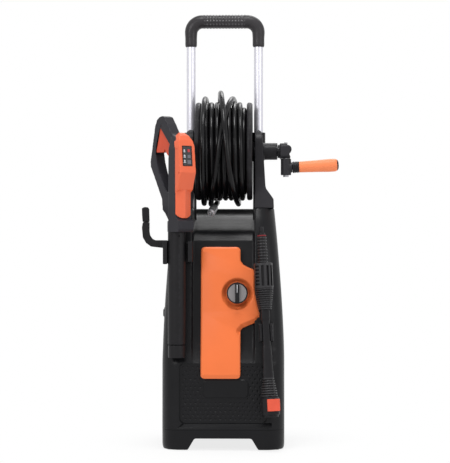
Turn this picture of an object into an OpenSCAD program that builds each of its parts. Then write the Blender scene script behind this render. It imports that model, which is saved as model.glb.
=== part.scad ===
// Upright electric pressure washer with a hose reel on top, a trigger gun
// and a lance stored on its front, two wheels behind and a pull-out handle.
// Millimetres. X runs to the right, Y to the back and Z up. The origin is on
// the ground under the middle of the whole machine.

/* [Housing] */
// Width across the lower housing
base_w = 268; // [264:1:272]
// Width across the top edge of the housing
top_w = 224; // [222:1:226]
// Height of the top edge of the housing
body_h = 529; // [527:1:531]
// Wall thickness of the covers
wall = 3; // [2.5:0.5:3.5]
// Half width of the bay between the two side rails
bay_half = 68.5; // [66:0.5:69]
// Height of the joint between the base tray and the covers
tray_top = 45; // [44:1:46]
// Where the front and the rear cover meet
split_y = 12; // [10:1:14]
// Height of the gap between the feet
foot_gap = 26; // [24:1:28]

/* [Switch panel] */
// Diameter of the turning knob
knob_d = 46; // [44:1:48]
// Height of the knob's centre
knob_z = 342.5; // [340:0.5:345]
// Distance of the knob from the middle of the housing
knob_x = 31; // [29:1:33]
// Diameter of the switch shaft
switch_shaft_d = 8; // [7:0.5:9]

/* [Handle] */
// Outer diameter of the handle tube
tube_d = 20.2; // [19.6:0.2:20.6]
// Distance of each tube from the middle
tube_x = 76.7; // [76.5:0.1:77.5]
// Distance of the tubes behind the reel's axis
tube_y = 50; // [49:0.5:51]
// Height of the middle of the cross bar
bar_z = 954.7; // [950:0.1:960]
// Radius of the bends, at the middle of the tube
bend_r = 26; // [25:1:30]
// Diameter of the foam on the cross bar
foam_d = 30.6; // [30:0.2:31]
// Diameter of the foam on the two legs
foam_leg_d = 26.8; // [26:0.2:27.4]
// Height at which the foam ends on the legs
foam_end_z = 897; // [890:1:905]
// Radial clearance of a sliding or turning fit
fit = 0.06; // [0.03:0.01:0.08]

/* [Reel] */
// Height of the reel's axis
axis_z = 657; // [655:1:659]
// Diameter of the axle
axle_d = 20; // [18:1:20]
// Diameter of the drum
drum_d = 150; // [140:2:152]
// Diameter of the two flanges
flange_d = 220; // [216:2:222]
// Distance between the flanges
flange_gap = 102; // [102:1:104]
// Thickness of a flange over its rim
rim_w = 12.5; // [12:0.5:14]

/* [Hose] */
// Outer diameter of the hose
hose_d = 12; // [11.5:0.1:12]
// Radius of the outer layer, at the middle of the hose
wind_r = 105; // [104.6:0.1:105.4]
// Number of turns in the outer layer
wind_turns = 7; // [7:1:7]
// Advance of the hose in one turn
wind_pitch = 12.7; // [12.5:0.05:12.7]
// Radius at which the last loops cross over the layer
cross_r = 118; // [118:0.1:118.5]

/* [Crank] */
// Distance of the folding pin in front of the axis
crank_throw = 52; // [50:1:54]
// Distance of the folding pin from the middle
crank_pin_x = 138; // [137:1:139]
// Height of the grip's axis at the folding pin
grip_pin_z = 618.5; // [617:0.5:619]
// Rise of the grip towards its end
grip_tilt = 3; // [1:0.5:3.5]
// Diameter of the folding pin
pin_d = 7; // [6:0.5:8]

/* [Wheels] */
// Diameter of a wheel over its tyre
wheel_d = 172; // [168:2:174]
// Width of a wheel
wheel_w = 30; // [28:1:30]
// Distance of the wheel axle behind the reel's axis
wheel_y = 105; // [104:1:106]
// Diameter of the wheel axle
wheel_axle_d = 12; // [10:1:14]

/* [Gun] */
// Diameter of the barrel
barrel_d = 39; // [38:0.5:39]
// Distance of the barrel from the middle
gun_x = 100; // [99:0.5:101]
// Distance of the barrel in front of the reel's axis
gun_y = 140; // [139.5:0.5:141]
// Bore of the socket at the end of the barrel
socket_d = 18; // [17:0.5:19]

/* [Lance] */
// Diameter of the twist collar
collar_d = 40.6; // [39:0.2:41]
// Width of the shaft
shaft_w = 25; // [23:0.5:25]
// Diameter of the nozzle head
nozzle_d = 40; // [38:0.5:41]

/* [Hidden] */
$fn = 48;
BIG = 400;

black_plastic = "#241a1a";
black_part = "#37373a";
orange = "#f08249";
hose_black = "#161518";
metal = "#c9c9cf";
foam_gray = "#484648";
rubber = "#222224";

// Bounds of the machine about the housing's middle and the reel's axis.
hook_left = 177;
grip_right = 255.3;
front_reach = 184.5;
mid_x = (hook_left - grip_right) / 2;
wheel_back = wheel_y + wheel_d / 2;
mid_y = (front_reach - wheel_back) / 2;

module placed() translate([mid_x, mid_y, 0]) children();

module xcyl(r, x0, x1, y = 0, z = 0, facets = 48)
    translate([x0, y, z]) rotate([0, 90, 0]) cylinder(r = r, h = x1 - x0, $fn = facets);

module ycyl(r, y0, y1, x = 0, z = 0, facets = 48)
    translate([x, y1, z]) rotate([90, 0, 0]) cylinder(r = r, h = y1 - y0, $fn = facets);

module zcyl(r, z0, z1, x = 0, y = 0, facets = 48)
    translate([x, y, z0]) cylinder(r = r, h = z1 - z0, $fn = facets);

module block(x0, x1, y0, y1, z0, z1)
    translate([x0, y0, z0]) cube([x1 - x0, y1 - y0, z1 - z0]);

// A front view outline, points [x, z], pulled from y0 to y1.
module front_plate(y0, y1)
    translate([0, y1, 0]) rotate([90, 0, 0]) linear_extrude(y1 - y0) children();

// A side view outline, points [y, z], pulled from x0 to x1.
module side_plate(x0, x1)
    translate([x0, 0, 0]) rotate([90, 0, 90]) linear_extrude(x1 - x0) children();

module round_rect(x0, x1, y0, y1, r) {
    translate([x0 + r, y0]) square([x1 - x0 - 2 * r, y1 - y0]);
    translate([x0, y0 + r]) square([x1 - x0, y1 - y0 - 2 * r]);
    for (x = [x0 + r, x1 - r], y = [y0 + r, y1 - r])
        translate([x, y]) circle(r);
}

// ---- Housing ----

// Half width of the housing at a height: upright below, drawn in above.
straight_z = 200;
function half_width(z) = z <= straight_z
    ? base_w / 2 - lookup(z, [[6, 9], [16, 3], [30, 0]])
    : base_w / 2 - (base_w - top_w) / 2 * pow((z - straight_z) / (body_h - straight_z), 1.5);

// Distance of the front surface of the rails in front of the axis.
FRONT = [[6, 122], [30, 130], [60, 135], [188, 133], [204, 127], [222, 120], [300, 116],
    [400, 109], [457, 99], [500, 83], [529, 66]];
back_y = 122;
front_corner = 40;
back_corner = 26;
corner_steps = 6;
LEVELS = [6, 16, 30, 46, 60, 120, 188, 204, 222, 260, 300, 340, 380, 420, 457, 485, 510];

function arc(cx, cy, r, from) =
    [for (i = [0 : corner_steps]) let(a = from + 90 * i / corner_steps)
        [cx + r * cos(a), cy + r * sin(a)]];

function plan_outline(z, inset) =
    let(hw = half_width(z) - inset, yf = inset - lookup(z, FRONT), yb = back_y - inset,
        rf = front_corner - inset, rb = back_corner - inset)
    concat(arc(hw - rf, yf + rf, rf, -90), arc(hw - rb, yb - rb, rb, 0),
        arc(rb - hw, yb - rb, rb, 90), arc(rf - hw, yf + rf, rf, 180));

module loft(levels, inset) {
    n = 4 * (corner_steps + 1);
    m = len(levels);
    points = [for (z = levels, p = plan_outline(z, inset)) [p[0], p[1], z]];
    sides = [for (k = [0 : m - 2], i = [0 : n - 1]) let(j = (i + 1) % n)
        each [[k * n + i, (k + 1) * n + i, (k + 1) * n + j],
            [k * n + i, (k + 1) * n + j, k * n + j]]];
    foot = [[for (i = [0 : n - 1]) i]];
    lid = [[for (i = [n - 1 : -1 : 0]) (m - 1) * n + i]];
    polyhedron(points, concat(sides, foot, lid));
}

// The bay between the rails: a hollow behind the reel that ends in a hard
// edge, then a front that lies deeper than the rails.
bay_edge_z = 457;
bay_edge_y = 80;
BAY = [[92, 529], [40, 509], [0, 496], [-40, 479], [-bay_edge_y, bay_edge_z],
    [-95, 400], [-103, 300], [-107, 222]];

module bay(half, back) side_plate(-half, half)
    polygon(concat([[92 + back, BIG + body_h]],
        [for (p = BAY) [p[0] + back, p[1] - (p[0] > -bay_edge_y ? back : 0)]],
        [[-160, 222], [-BIG, 222], [-BIG, BIG + body_h]]));

well_x = 96;
well_r = wheel_d / 2 + 6;

module wheel_wells(thick)
    for (side = [-1, 1])
        xcyl(well_r + thick, side > 0 ? well_x - thick : -BIG, side > 0 ? BIG : thick - well_x,
            wheel_y, wheel_d / 2);

// The space under the tray: between the two front feet and behind them.
foot_in = 62;
foot_out = 78;
foot_back = -40;

module under_tray(thick) {
    front_plate(-BIG, BIG) polygon([[-foot_out, -1], [-foot_in, foot_gap + thick],
        [foot_in, foot_gap + thick], [foot_out, -1]]);
    block(-BIG, BIG, foot_back, BIG, -1, foot_gap + thick);
}

module housing_solid() difference() {
    loft(concat(LEVELS, [body_h]), 0);
    bay(bay_half, 0);
    wheel_wells(0);
    under_tray(0);
}

module housing_space() difference() {
    loft(concat([foot_gap + wall], [for (z = LEVELS) if (z > foot_gap + wall) z], [body_h - wall]),
        wall);
    bay(bay_half + wall, wall);
    wheel_wells(wall);
    under_tray(wall);
    // The wall is thicker behind the lower field.
    block(-99, 100, -BIG, -126.5, 54, 196);
}

// The lower front panel: a shallow rounded field over a ledge.
module lower_field() front_plate(-BIG, -lookup(100, FRONT) + 3.5)
    round_rect(-95, 96, 60, 190, 9);

module cover_front() difference() {
    housing_solid();
    intersection() {
        lower_field();
        block(-BIG, BIG, -BIG, -100, 0, BIG);
    }
}

module front_cover() placed() color(black_plastic) difference() {
    cover_front();
    housing_space();
    block(-BIG, BIG, split_y, BIG, -1, BIG * 2);
    block(-BIG, BIG, -BIG, BIG, -1, tray_top);
    ycyl(16, -BIG, -80, knob_x, knob_z);
}

vent_z0 = 300;
vent_z1 = 450;
vent_half = 75;

module rear_cover() placed() color(black_plastic) difference() {
    housing_solid();
    housing_space();
    block(-BIG, BIG, -BIG, split_y, -1, BIG * 2);
    block(-BIG, BIG, -BIG, BIG, -1, tray_top);
    block(-vent_half, vent_half, 100, BIG, vent_z0, vent_z1);
    xcyl(wheel_axle_d / 2 + 0.2, -BIG, BIG, wheel_y, wheel_d / 2);
    ycyl(inlet_flange_d / 2 + 0.2, 100, BIG, inlet_x, inlet_z);
    for (side = [-1, 1])
        zcyl(guide_d / 2 + 0.2, 300, BIG * 2, side * tube_x, tube_y);
    zcyl(feed_d / 2 + 0.3, 500, BIG * 2, feed_x, feed_y);
}

module base_tray() placed() color(black_plastic) difference() {
    housing_solid();
    housing_space();
    block(-BIG, BIG, -BIG, BIG, tray_top, BIG * 2);
}

pad_h = 6;

module rubber_feet() placed() color(rubber) for (side = [-1, 1])
    translate([side * 104, -80, 0]) linear_extrude(pad_h) round_rect(-18, 18, -32, 34, 8);

// A grille of level slats in the back of the rear cover.
slat_pitch = 12;

module vent_grille() placed() color(black_part) difference() {
    front_plate(back_y - 8, back_y - 1)
        round_rect(-vent_half + 0.2, vent_half - 0.2, vent_z0 + 0.2, vent_z1 - 0.2, 1);
    for (z = [vent_z0 + 9 : slat_pitch : vent_z1 - 12])
        block(8 - vent_half, vent_half - 8, back_y - 20, back_y + 1, z, z + 6);
}

// ---- Arms that carry the reel ----

arm_x = bay_half;
arm_top_z = 706;

module arm_outline() polygon([[arm_x, body_h], [111.4, body_h], [110.7, 549], [106, 556],
    [94.5, 572], [92.7, 579], [88.2, 655], [85.6, 694], [82.5, 702], [77, arm_top_z],
    [arm_x, arm_top_z]]);

module arm_side() difference() {
    union() {
        polygon([[-58, body_h], [44, body_h], [36, 600], [35, 670], [-35, 670], [-38, 600]]);
        translate([0, 671]) circle(35);
    }
    translate([0, arm_top_z]) square([200, 60]);
}

module arm() difference() {
    intersection() {
        front_plate(-100, 100) arm_outline();
        side_plate(0, 200) arm_side();
    }
    xcyl(axle_d / 2 + fit, 0, 200, 0, axis_z);
    // The guide tube stands close behind the arm.
    zcyl(guide_d / 2 + 0.2, 500, 800, tube_x, tube_y);
}

bearing_d = 38;
bearing_end_x = 119.5;

module right_arm() placed() color(black_part) {
    arm();
    difference() {
        xcyl(bearing_d / 2, 86, bearing_end_x, 0, axis_z);
        xcyl(axle_d / 2 + fit, 80, 130, 0, axis_z);
    }
}

module left_arm() placed() color(black_part) difference() {
    mirror([1, 0, 0]) arm();
    zcyl(feed_d / 2 + 0.3, 500, axis_z + 10, feed_x, feed_y);
}

guide_d = 25;
guide_z0 = 330;
guide_z1 = 702;
boss_y1 = tube_y + 22;

module guide_tube() difference() {
    union() {
        zcyl(guide_d / 2, guide_z0, guide_z1);
        zcyl(guide_d / 2 + 3.2, guide_z1 - 26, guide_z1);
        block(-8, 8, 0, boss_y1 - tube_y, guide_z1 - 22, guide_z1 - 4);
    }
    zcyl(tube_d / 2 + fit, guide_z0 - 1, guide_z1 + 1);
    ycyl(button_d / 2 + fit, tube_d / 2 - 1, BIG, 0, button_z);
}

module guide_tubes() placed() color(black_part) for (side = [-1, 1])
    translate([side * tube_x, tube_y, 0]) guide_tube();

button_d = 10;
button_z = guide_z1 - 13;

module lock_button(side) placed() color(orange)
    ycyl(button_d / 2, tube_y + tube_d / 2 + 3.2, boss_y1 + 4, side * tube_x, button_z);

module left_lock_button() lock_button(-1);
module right_lock_button() lock_button(1);

// ---- Handle ----

leg_z0 = 372;
leg_joint_z = 906;

module u_path(r, z0, bar_r) {
    x = tube_x;
    for (side = [-1, 1]) {
        zcyl(r, z0, bar_z - bend_r, side * x, tube_y);
        translate([side * (x - bend_r), tube_y, bar_z - bend_r]) rotate([90, 0, 0])
            rotate([0, 0, side > 0 ? 0 : 90])
                rotate_extrude(angle = 90) translate([bend_r, 0]) circle(r);
    }
    xcyl(bar_r, bend_r - x, x - bend_r, tube_y, bar_z);
}

// Two legs and a bent bar that meet under the foam.
module handle_tube() placed() color(metal) difference() {
    u_path(tube_d / 2, leg_z0, tube_d / 2);
    for (side = [-1, 1]) {
        zcyl(tube_d / 2 - 1.5, leg_z0 - 1, bar_z - bend_r, side * tube_x, tube_y);
        zcyl(tube_d, leg_joint_z, leg_joint_z + 0.1, side * tube_x, tube_y);
    }
}

module handle_grip() placed() color(foam_gray) difference() {
    u_path(foam_leg_d / 2, foam_end_z, foam_d / 2);
    u_path(tube_d / 2 + 0.1, foam_end_z - 1, tube_d / 2 + 0.1);
}

// ---- Reel ----

module turning() placed() translate([0, 0, axis_z]) children();

reel_half = flange_gap / 2;
drum_wall = 4;
hub_r = 17;

// Drum: a hollow core with a hub and two webs.
module reel_drum() turning() color(black_part) difference() {
    union() {
        difference() {
            xcyl(drum_d / 2, -reel_half, reel_half);
            xcyl(drum_d / 2 - drum_wall, -reel_half - 1, reel_half + 1);
        }
        xcyl(hub_r, -reel_half, reel_half);
        for (x = [-30, 26]) xcyl(drum_d / 2 - 1, x, x + 4);
    }
    xcyl(axle_d / 2, -reel_half - 1, reel_half + 1);
}

hub_end = arm_x - reel_half - 0.4;

// A dished flange with a rounded rim, seen in section as [radius, x].
module flange(side) turning() color(black_part)
    rotate([0, side * 90, 0]) translate([0, 0, reel_half]) {
        difference() {
            rotate_extrude() {
                r = flange_d / 2;
                polygon([[axle_d / 2, 0], [r - 4, 0], [r - 1, 2], [r, 5], [r - 1, rim_w - 2],
                    [r - 4, rim_w], [r - 7, rim_w], [r - 11, rim_w - 4], [r - 26, 5],
                    [60, 4], [48, 4], [40, 8], [24, 8], [20, hub_end], [axle_d / 2, hub_end]]);
            }
            for (a = [0 : 60 : 300]) rotate(a + 30) translate([66, 0, -1]) cylinder(r = 9, h = 20);
        }
    }

module left_flange() flange(-1);
module right_flange() flange(1);

axle_left = 106;
crank_hub_x = 120;

module reel_axle() turning() color(metal)
    xcyl(axle_d / 2, -axle_left, crank_hub_x);

// ---- Hose ----

core_r = wind_r - hose_d / 2 - 1.4;
ring_steps = 24;
start_x = wind_pitch * wind_turns / 2;
outlet_gap = hose_d + 2;

// Where the last loops lie, by the count of turns: across the drum and out
// from the axis. They cross over the full layer, and once over themselves.
climb = 0.33;
cross_x = [[0, -start_x], [0.1, -44.9], [0.5, -44.9], [0.75, -42], [1, -31.5], [1.25, -30],
    [1.5, -10], [1.75, 20], [2, 30], [2.25, 32], [2.5, 8], [2.75, -8], [3, -14], [3.25, -17]];
over_r = cross_r + hose_d + 1;
cross_out = [[0, wind_r], [climb, cross_r], [2.25, cross_r], [2.42, over_r], [2.8, over_r],
    [3, cross_r], [3.25, cross_r]];
last_turn = 3.22;

function wind_at(t) =
    let(u = t - wind_turns, x = u <= 0 ? start_x - wind_pitch * t : lookup(u, cross_x),
        r = u <= 0 ? wind_r : lookup(u, cross_out), a = 90 + 360 * t)
    [x, r * sin(a), r * cos(a)];

// The tail leaves the drum below, bends down and runs straight into its sleeve.
tail_bend = 60;
tail_slope0 = 8;
tail_slope1 = 25;
tail_sway = 3;
wind_end = wind_at(wind_turns + last_turn);
function tail_at(slope) = wind_end + [-tail_sway * (slope - tail_slope0) / 17,
    -tail_bend * (sin(slope) - sin(tail_slope0)), -tail_bend * (cos(tail_slope0) - cos(slope))];
tail_dir = [-sin(14) * cos(tail_slope1), -cos(14) * cos(tail_slope1), -sin(tail_slope1)];
tail_end = tail_at(tail_slope1) + hose_d * tail_dir;

hose_path = concat(
    [[start_x, wind_r, outlet_gap]],
    [for (k = [0 : ring_steps * (wind_turns + last_turn)]) wind_at(k / ring_steps)],
    [for (slope = [13, 19, 25]) tail_at(slope)],
    [tail_end]);

function unit(v) = v / norm(v);

// Sweeps a tube of one radius along points; the rings stand across the path
// and keep one side towards the reel's axle.
module swept(path, r, sides) {
    n = len(path);
    rings = [for (i = [0 : n - 1])
        let(t = unit(path[min(i + 1, n - 1)] - path[max(i - 1, 0)]),
            u = unit(cross(t, [1, 0, 0])), v = cross(t, u))
        for (k = [0 : sides - 1]) let(a = 360 * k / sides)
            path[i] + r * (cos(a) * u + sin(a) * v)];
    skin = [for (i = [0 : n - 2], k = [0 : sides - 1])
        let(a = i * sides + k, b = i * sides + (k + 1) % sides)
        each [[a, b, b + sides], [a, b + sides, a + sides]]];
    caps = [[for (k = [sides - 1 : -1 : 0]) k], [for (k = [0 : sides - 1]) (n - 1) * sides + k]];
    polyhedron(rings, concat(skin, caps));
}

module hose_winding() turning() color(hose_black) swept(hose_path, hose_d / 2, 6);

// Least free space between two stretches of the hose, measured on its points.
near = 5;
hose_gap = min([for (i = [0 : len(hose_path) - near - 1])
    min([for (j = [i + near : len(hose_path) - 1]) norm(hose_path[i] - hose_path[j])])]) - hose_d;
echo(hose_gap = hose_gap);

outlet_z = outlet_gap + 7;

module hose_core() turning() color(hose_black) difference() {
    xcyl(core_r, 0.5 - reel_half, reel_half - 0.5);
    xcyl(drum_d / 2 + 0.05, -BIG, BIG);
    ycyl(6.3, 0, BIG, start_x, outlet_z);
}

module hose_outlet() turning() color(metal) {
    ycyl(6, drum_d / 2 + 0.3, wind_r, start_x, outlet_z);
    zcyl(6.4, outlet_gap, outlet_gap + 14, start_x, wind_r);
}

// Pieces in line with the tail, drawn from its end outwards.
module along_tail(from) turning()
    translate(tail_end + from * tail_dir)
        rotate([0, 90 + tail_slope1, atan2(tail_dir[1], tail_dir[0])]) children();

sleeve_l = 22;
nut_l = 8;

module hose_sleeve() along_tail(0) color(hose_black)
    rotate_extrude() polygon([[0, 0], [8, 0], [9.5, 3], [9.5, sleeve_l - 3], [8.6, sleeve_l], [0, sleeve_l]]);

module hose_fitting() along_tail(sleeve_l) color(metal) difference() {
    union() {
        cylinder(r = 8.8, h = nut_l);
        cylinder(r = 6.2, h = nut_l + 5);
    }
    translate([0, 0, nut_l - 6]) cylinder(r = 4, h = 20);
}

// ---- Crank ----

crank_end_x = 150.5;

module crank_arm() turning() color(black_part) difference() {
    union() {
        xcyl(15, crank_hub_x, 126);
        intersection() {
            side_plate(125.3, crank_end_x) union() {
                circle(18.5);
                polygon([[0, 18.5], [-crank_throw - 8, 15], [-crank_throw - 14, 9],
                    [-crank_throw - 14, -12], [-crank_throw - 8, -17.2], [0, -18.5]]);
            }
            front_plate(-100, 100) polygon([[120, -30], [147, -30], [148.5, -4], [crank_end_x, 0],
                [crank_end_x, 14], [146, 30], [120, 30]]);
        }
    }
    zcyl(pin_d / 2 + fit, -40, 40, crank_pin_x, -crank_throw);
}

module at_pin() placed() translate([crank_pin_x, -crank_throw, 0]) children();
module on_grip() at_pin() translate([0, 0, grip_pin_z]) rotate([0, 90 - grip_tilt, 0]) children();

knuckle_r = 11.5;
knuckle_top = axis_z - 18.6;
knuckle_low = 602;
spindle_d = 9;
grip_x0 = 14.5;
grip_l = 102.5;

module crank_knuckle() {
    color(black_part) difference() {
        union() {
            at_pin() zcyl(knuckle_r, knuckle_low, knuckle_top);
            on_grip() cylinder(r = 11, h = grip_x0 - 0.4);
            on_grip() cylinder(r = spindle_d / 2, h = grip_l);
        }
        at_pin() zcyl(pin_d / 2, 590, 700);
    }
}

module crank_pin() at_pin() color(metal) {
    zcyl(pin_d / 2, knuckle_low - 0.5, axis_z + 17.5);
    zcyl(6, knuckle_low - 4, knuckle_low);
}

module crank_grip() on_grip() color(orange) difference() {
    rotate_extrude() polygon([[0, grip_x0], [11.5, grip_x0], [12.8, grip_x0 + 1.5],
        [12.8, grip_x0 + 13], [11.6, grip_x0 + 14.6], [12.2, grip_x0 + 16], [12.2, grip_x0 + 24],
        [13.4, grip_x0 + 60], [14.4, grip_x0 + 84], [14.2, grip_x0 + 94], [12, grip_x0 + 100],
        [8, grip_x0 + grip_l - 0.6], [0, grip_x0 + grip_l]]);
    translate([0, 0, -1]) cylinder(r = spindle_d / 2 + fit, h = grip_l + 2);
}

// ---- Wheels ----

wheel_x = 114;
rim_r = 68;

module at_wheel(side) placed()
    translate([side * wheel_x, wheel_y, wheel_d / 2]) rotate([0, side * 90, 0]) children();

module wheel(side) at_wheel(side) color(black_part) difference() {
    union() {
        rotate_extrude() {
            h = wheel_w / 2;
            polygon([[wheel_axle_d / 2 + fit, -h], [20, -h], [20, -3], [rim_r - 10, -3],
                [rim_r - 6, 3 - h], [rim_r - 0.1, 3 - h], [rim_r - 0.1, h - 3], [rim_r - 6, h - 3],
                [rim_r - 10, 3], [22, 3], [18, h - 1], [wheel_axle_d / 2 + fit, h - 1]]);
        }
        for (a = [0 : 60 : 300]) rotate(a) translate([18, -2.5, -3]) cube([rim_r - 26, 5, 12]);
    }
    for (a = [30 : 60 : 330]) rotate(a) translate([40, 0, -30]) cylinder(r = 9, h = 60);
}

module tyre(side) at_wheel(side) color(rubber) rotate_extrude() {
    r = wheel_d / 2;
    h = wheel_w / 2;
    polygon([[rim_r, -h + 2], [rim_r + 4, -h], [r - 6, -h], [r - 1.5, 4 - h], [r, 9 - h],
        [r, h - 9], [r - 1.5, h - 4], [r - 6, h], [rim_r + 4, h], [rim_r, h - 2]]);
}

module left_wheel() wheel(-1);
module right_wheel() wheel(1);
module left_tyre() tyre(-1);
module right_tyre() tyre(1);

module wheel_axle() placed() color(metal)
    xcyl(wheel_axle_d / 2, -wheel_x - 13, wheel_x + 13, wheel_y, wheel_d / 2);

// ---- Switch panel ----

// Side profile [y, z] of the panel's front: it stands proud of the rail that
// the lobe covers, steps out over the lower cover and ends in a bevel.
PANEL = [[-104.5, 449], [-110, 400], [-118.5, 300], [-123, 225], [-130, 207], [-141, 196],
    [-143.5, 160], [-141.5, 152]];
knob_recess_r = 33;
knob_face_y = -108.5;
panel_skin = 3;

// The panel's outline: a tall strip with a wide lobe on its right.
module panel_outline() {
    translate([-48.4, 157]) round_rect(0, 86.3, 0, 286, 10);
    polygon([[30, 436], [37, 430], [37.5, 414], [44, 404], [58, 397], [66, 394], [69.5, 385],
        [69, 350], [76, 313], [79.4, 299], [79.4, 286], [76, 280], [44, 267], [38.5, 262],
        [36, 250], [30, 240]]);
}

module panel_body(inset) intersection() {
    front_plate(-BIG, -60) offset(-inset) panel_outline();
    side_plate(-BIG, BIG) polygon(concat([for (p = PANEL) p + [inset, 0]],
        [[-90, 152], [-70, 449]]));
}

module switch_panel() placed() color(orange) difference() {
    panel_body(0);
    difference() {
        panel_body(panel_skin);
        ycyl(knob_recess_r + panel_skin, -BIG, 0, knob_x, knob_z);
    }
    cover_front();
    ycyl(knob_recess_r, -BIG, knob_face_y, knob_x, knob_z);
    ycyl(switch_shaft_d / 2 + fit, -BIG, 0, knob_x, knob_z);
}

knob_front_y = -124;

module power_knob() placed() color(black_part) difference() {
    union() {
        ycyl(knob_d / 2, knob_front_y, knob_face_y - 0.5, knob_x, knob_z);
        translate([knob_x - 4.2, knob_front_y - 9, knob_z - 20]) cube([8.4, 12, 40]);
    }
    ycyl(switch_shaft_d / 2, knob_front_y + 2, 0, knob_x, knob_z);
}

module knob_inlays() placed() color("#8f8b8c") difference() {
    ycyl(knob_d / 2 - 2.7, knob_front_y - 1, knob_front_y, knob_x, knob_z);
    block(knob_x - 4.6, knob_x + 4.6, -BIG, 0, 0, BIG * 2);
}

switch_back_y = -52;

module switch_shaft() placed() color(metal)
    ycyl(switch_shaft_d / 2, knob_front_y + 2, switch_back_y - 8, knob_x, knob_z);

module switch_body() placed() color(black_part) difference() {
    block(knob_x - 19, knob_x + 19, -91, switch_back_y, knob_z - 19, knob_z + 19);
    ycyl(switch_shaft_d / 2 + fit, -BIG, 0, knob_x, knob_z);
}

// ---- Motor and pump ----

motor_y = 22;
motor_r = 56;
motor_z0 = 250;
motor_z1 = 420;
shaft_r = 6;

module motor_can() placed() translate([0, motor_y, 0]) color(metal) difference() {
    zcyl(motor_r, motor_z0, motor_z1);
    zcyl(motor_r - 3, motor_z0 + 5, motor_z1 - 5);
    zcyl(shaft_r + fit, 0, BIG * 2);
}

module motor_rotor() placed() translate([0, motor_y, 0]) color("#b06a3a") {
    zcyl(40, motor_z0 + 12, motor_z1 - 14);
    zcyl(shaft_r, 190, motor_z1 + 22);
}

module cooling_fan() placed() translate([0, motor_y, motor_z1 + 4]) color(black_part) difference() {
    union() {
        cylinder(r = 12, h = 14);
        cylinder(r = 48, h = 2);
        for (a = [0 : 40 : 320]) rotate(a) translate([11, -1, 0]) cube([36, 2, 12]);
    }
    translate([0, 0, -1]) cylinder(r = shaft_r, h = 30);
}

pump_z0 = 122;

module pump_case() placed() translate([0, motor_y, 0]) color("#8d9095") difference() {
    zcyl(46, 174, motor_z0 - 1);
    zcyl(38, 180, motor_z0 - 12);
    zcyl(shaft_r + fit, 181, BIG);
}

inlet_x = -30;
inlet_z = 146;
inlet_flange_d = 38;
inlet_d = 15.8;

module pump_head() placed() color("#8d9095") difference() {
    block(-44, 44, motor_y - 40, motor_y + 44, pump_z0, 173.6);
    ycyl(8, 40, 100, inlet_x, inlet_z);
}

module unloader_valve() placed() color("#c79a4a") {
    xcyl(13, 44.2, 78, motor_y, 148);
    xcyl(8, 78, 90, motor_y, 148);
}

module water_inlet() placed() color("#c79a4a") difference() {
    union() {
        ycyl(11, motor_y + 44.3, back_y - 4, inlet_x, inlet_z);
        ycyl(inlet_flange_d / 2, back_y - 4, back_y + 6, inlet_x, inlet_z);
        ycyl(inlet_d / 2, back_y + 6, back_y + 26, inlet_x, inlet_z);
    }
    ycyl(5, motor_y + 40, back_y + 30, inlet_x, inlet_z);
}

module control_box() placed() color(black_part) difference() {
    block(54, 98, -76, -20, 110, 200);
    block(57, 95, -73, -23, 113, 197);
}

// The hose from the pump up to the swivel, with its corners bent.
feed_x = -100;
feed_y = 26;
feed_d = 13;
feed_bend = 9;
FEED = [[-47.8, 30, 162.1], [-70, 30, 176], [feed_x, feed_y, 300], [feed_x, feed_y, axis_z],
    [feed_x, 15.6, axis_z]];

feed_path = concat([FEED[0]], [for (i = [1 : len(FEED) - 2])
    let(p = FEED[i], a = p + feed_bend * unit(FEED[i - 1] - p), b = p + feed_bend * unit(FEED[i + 1] - p))
        each [for (k = [0 : 4]) let(t = k / 4)
            (1 - t) * (1 - t) * a + 2 * t * (1 - t) * p + t * t * b]], [FEED[len(FEED) - 1]]);

module supply_hose() placed() color(hose_black) swept(feed_path, feed_d / 2, 16);

module swivel_housing() placed() color("#c79a4a") difference() {
    xcyl(16, -112, -89, 0, axis_z);
    xcyl(axle_d / 2 + fit, -107, 0, 0, axis_z);
}

module cord_gland() placed() color(rubber) difference() {
    union() {
        xcyl(12, -134, -122, -20, 295);
        xcyl(8, -136, -133, -20, 295);
    }
    xcyl(4, -140, -100, -20, 295);
}

module housing_screws() placed() color(metal)
    for (x = [-88, 88], z = [200, 290, 380, 470]) difference() {
        ycyl(4, back_y - 4, back_y + 1.6, x, z);
        ycyl(2, back_y, back_y + 9, x, z, 6);
    }

// ---- Gun ----

// The gun is drawn in its own frame: the barrel stands on the origin, +X is
// its top with the display and -X is its grip.
gun_turn = -50;
barrel_low = 212;
barrel_top = 476;
body_half = 21;
loop_half = 12.5;
trigger_half = 10.5;

module at_gun() placed() translate([-gun_x, -gun_y, 0]) rotate(gun_turn) children();

RECEIVER = [[-4, barrel_top], [30, barrel_top], [33, 482], [33, 500], [24, 506], [21, 515],
    [21, 566], [26, 592], [28, 604], [27, 650], [22, 670], [14, 682], [-3, 687]];
SHOULDER = [[-body_half, 400], [-body_half, 655], [-14, 680], [-10, 690], [10, 690],
    [14, 680], [body_half, 655], [body_half, 400]];

// The loop: a strap from the receiver's top, the grip and its foot.
LOOP = [[6, 680], [-4, 690], [-18, 711], [-30, 727], [-38, 729.5], [-47, 727.5], [-56, 722],
    [-63, 708], [-77, 644], [-80, 630], [-78.5, 619], [-58.6, 584.6], [-38, 548], [-35.5, 524],
    [-26, 516], [-15, 502], [-3, 500], [-3, 558], [-20, 563], [-32, 579], [-48, 605],
    [-57, 629], [-61, 648], [-58, 668], [-50, 692], [-44, 703], [-8, 664], [0, 650]];

// The orange head's outline from the side; it wraps the receiver's shoulders.
head_wrap = 18;
HEAD = [[21.2, 560], [30.5, 567], [36, 588], [41, 604], [39.5, 618], [36, 662], [33, 674],
    [27, 684], [20.4, 690], [14, 692], [12, 685], [16.5, 668], [21.2, 655]];

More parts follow.
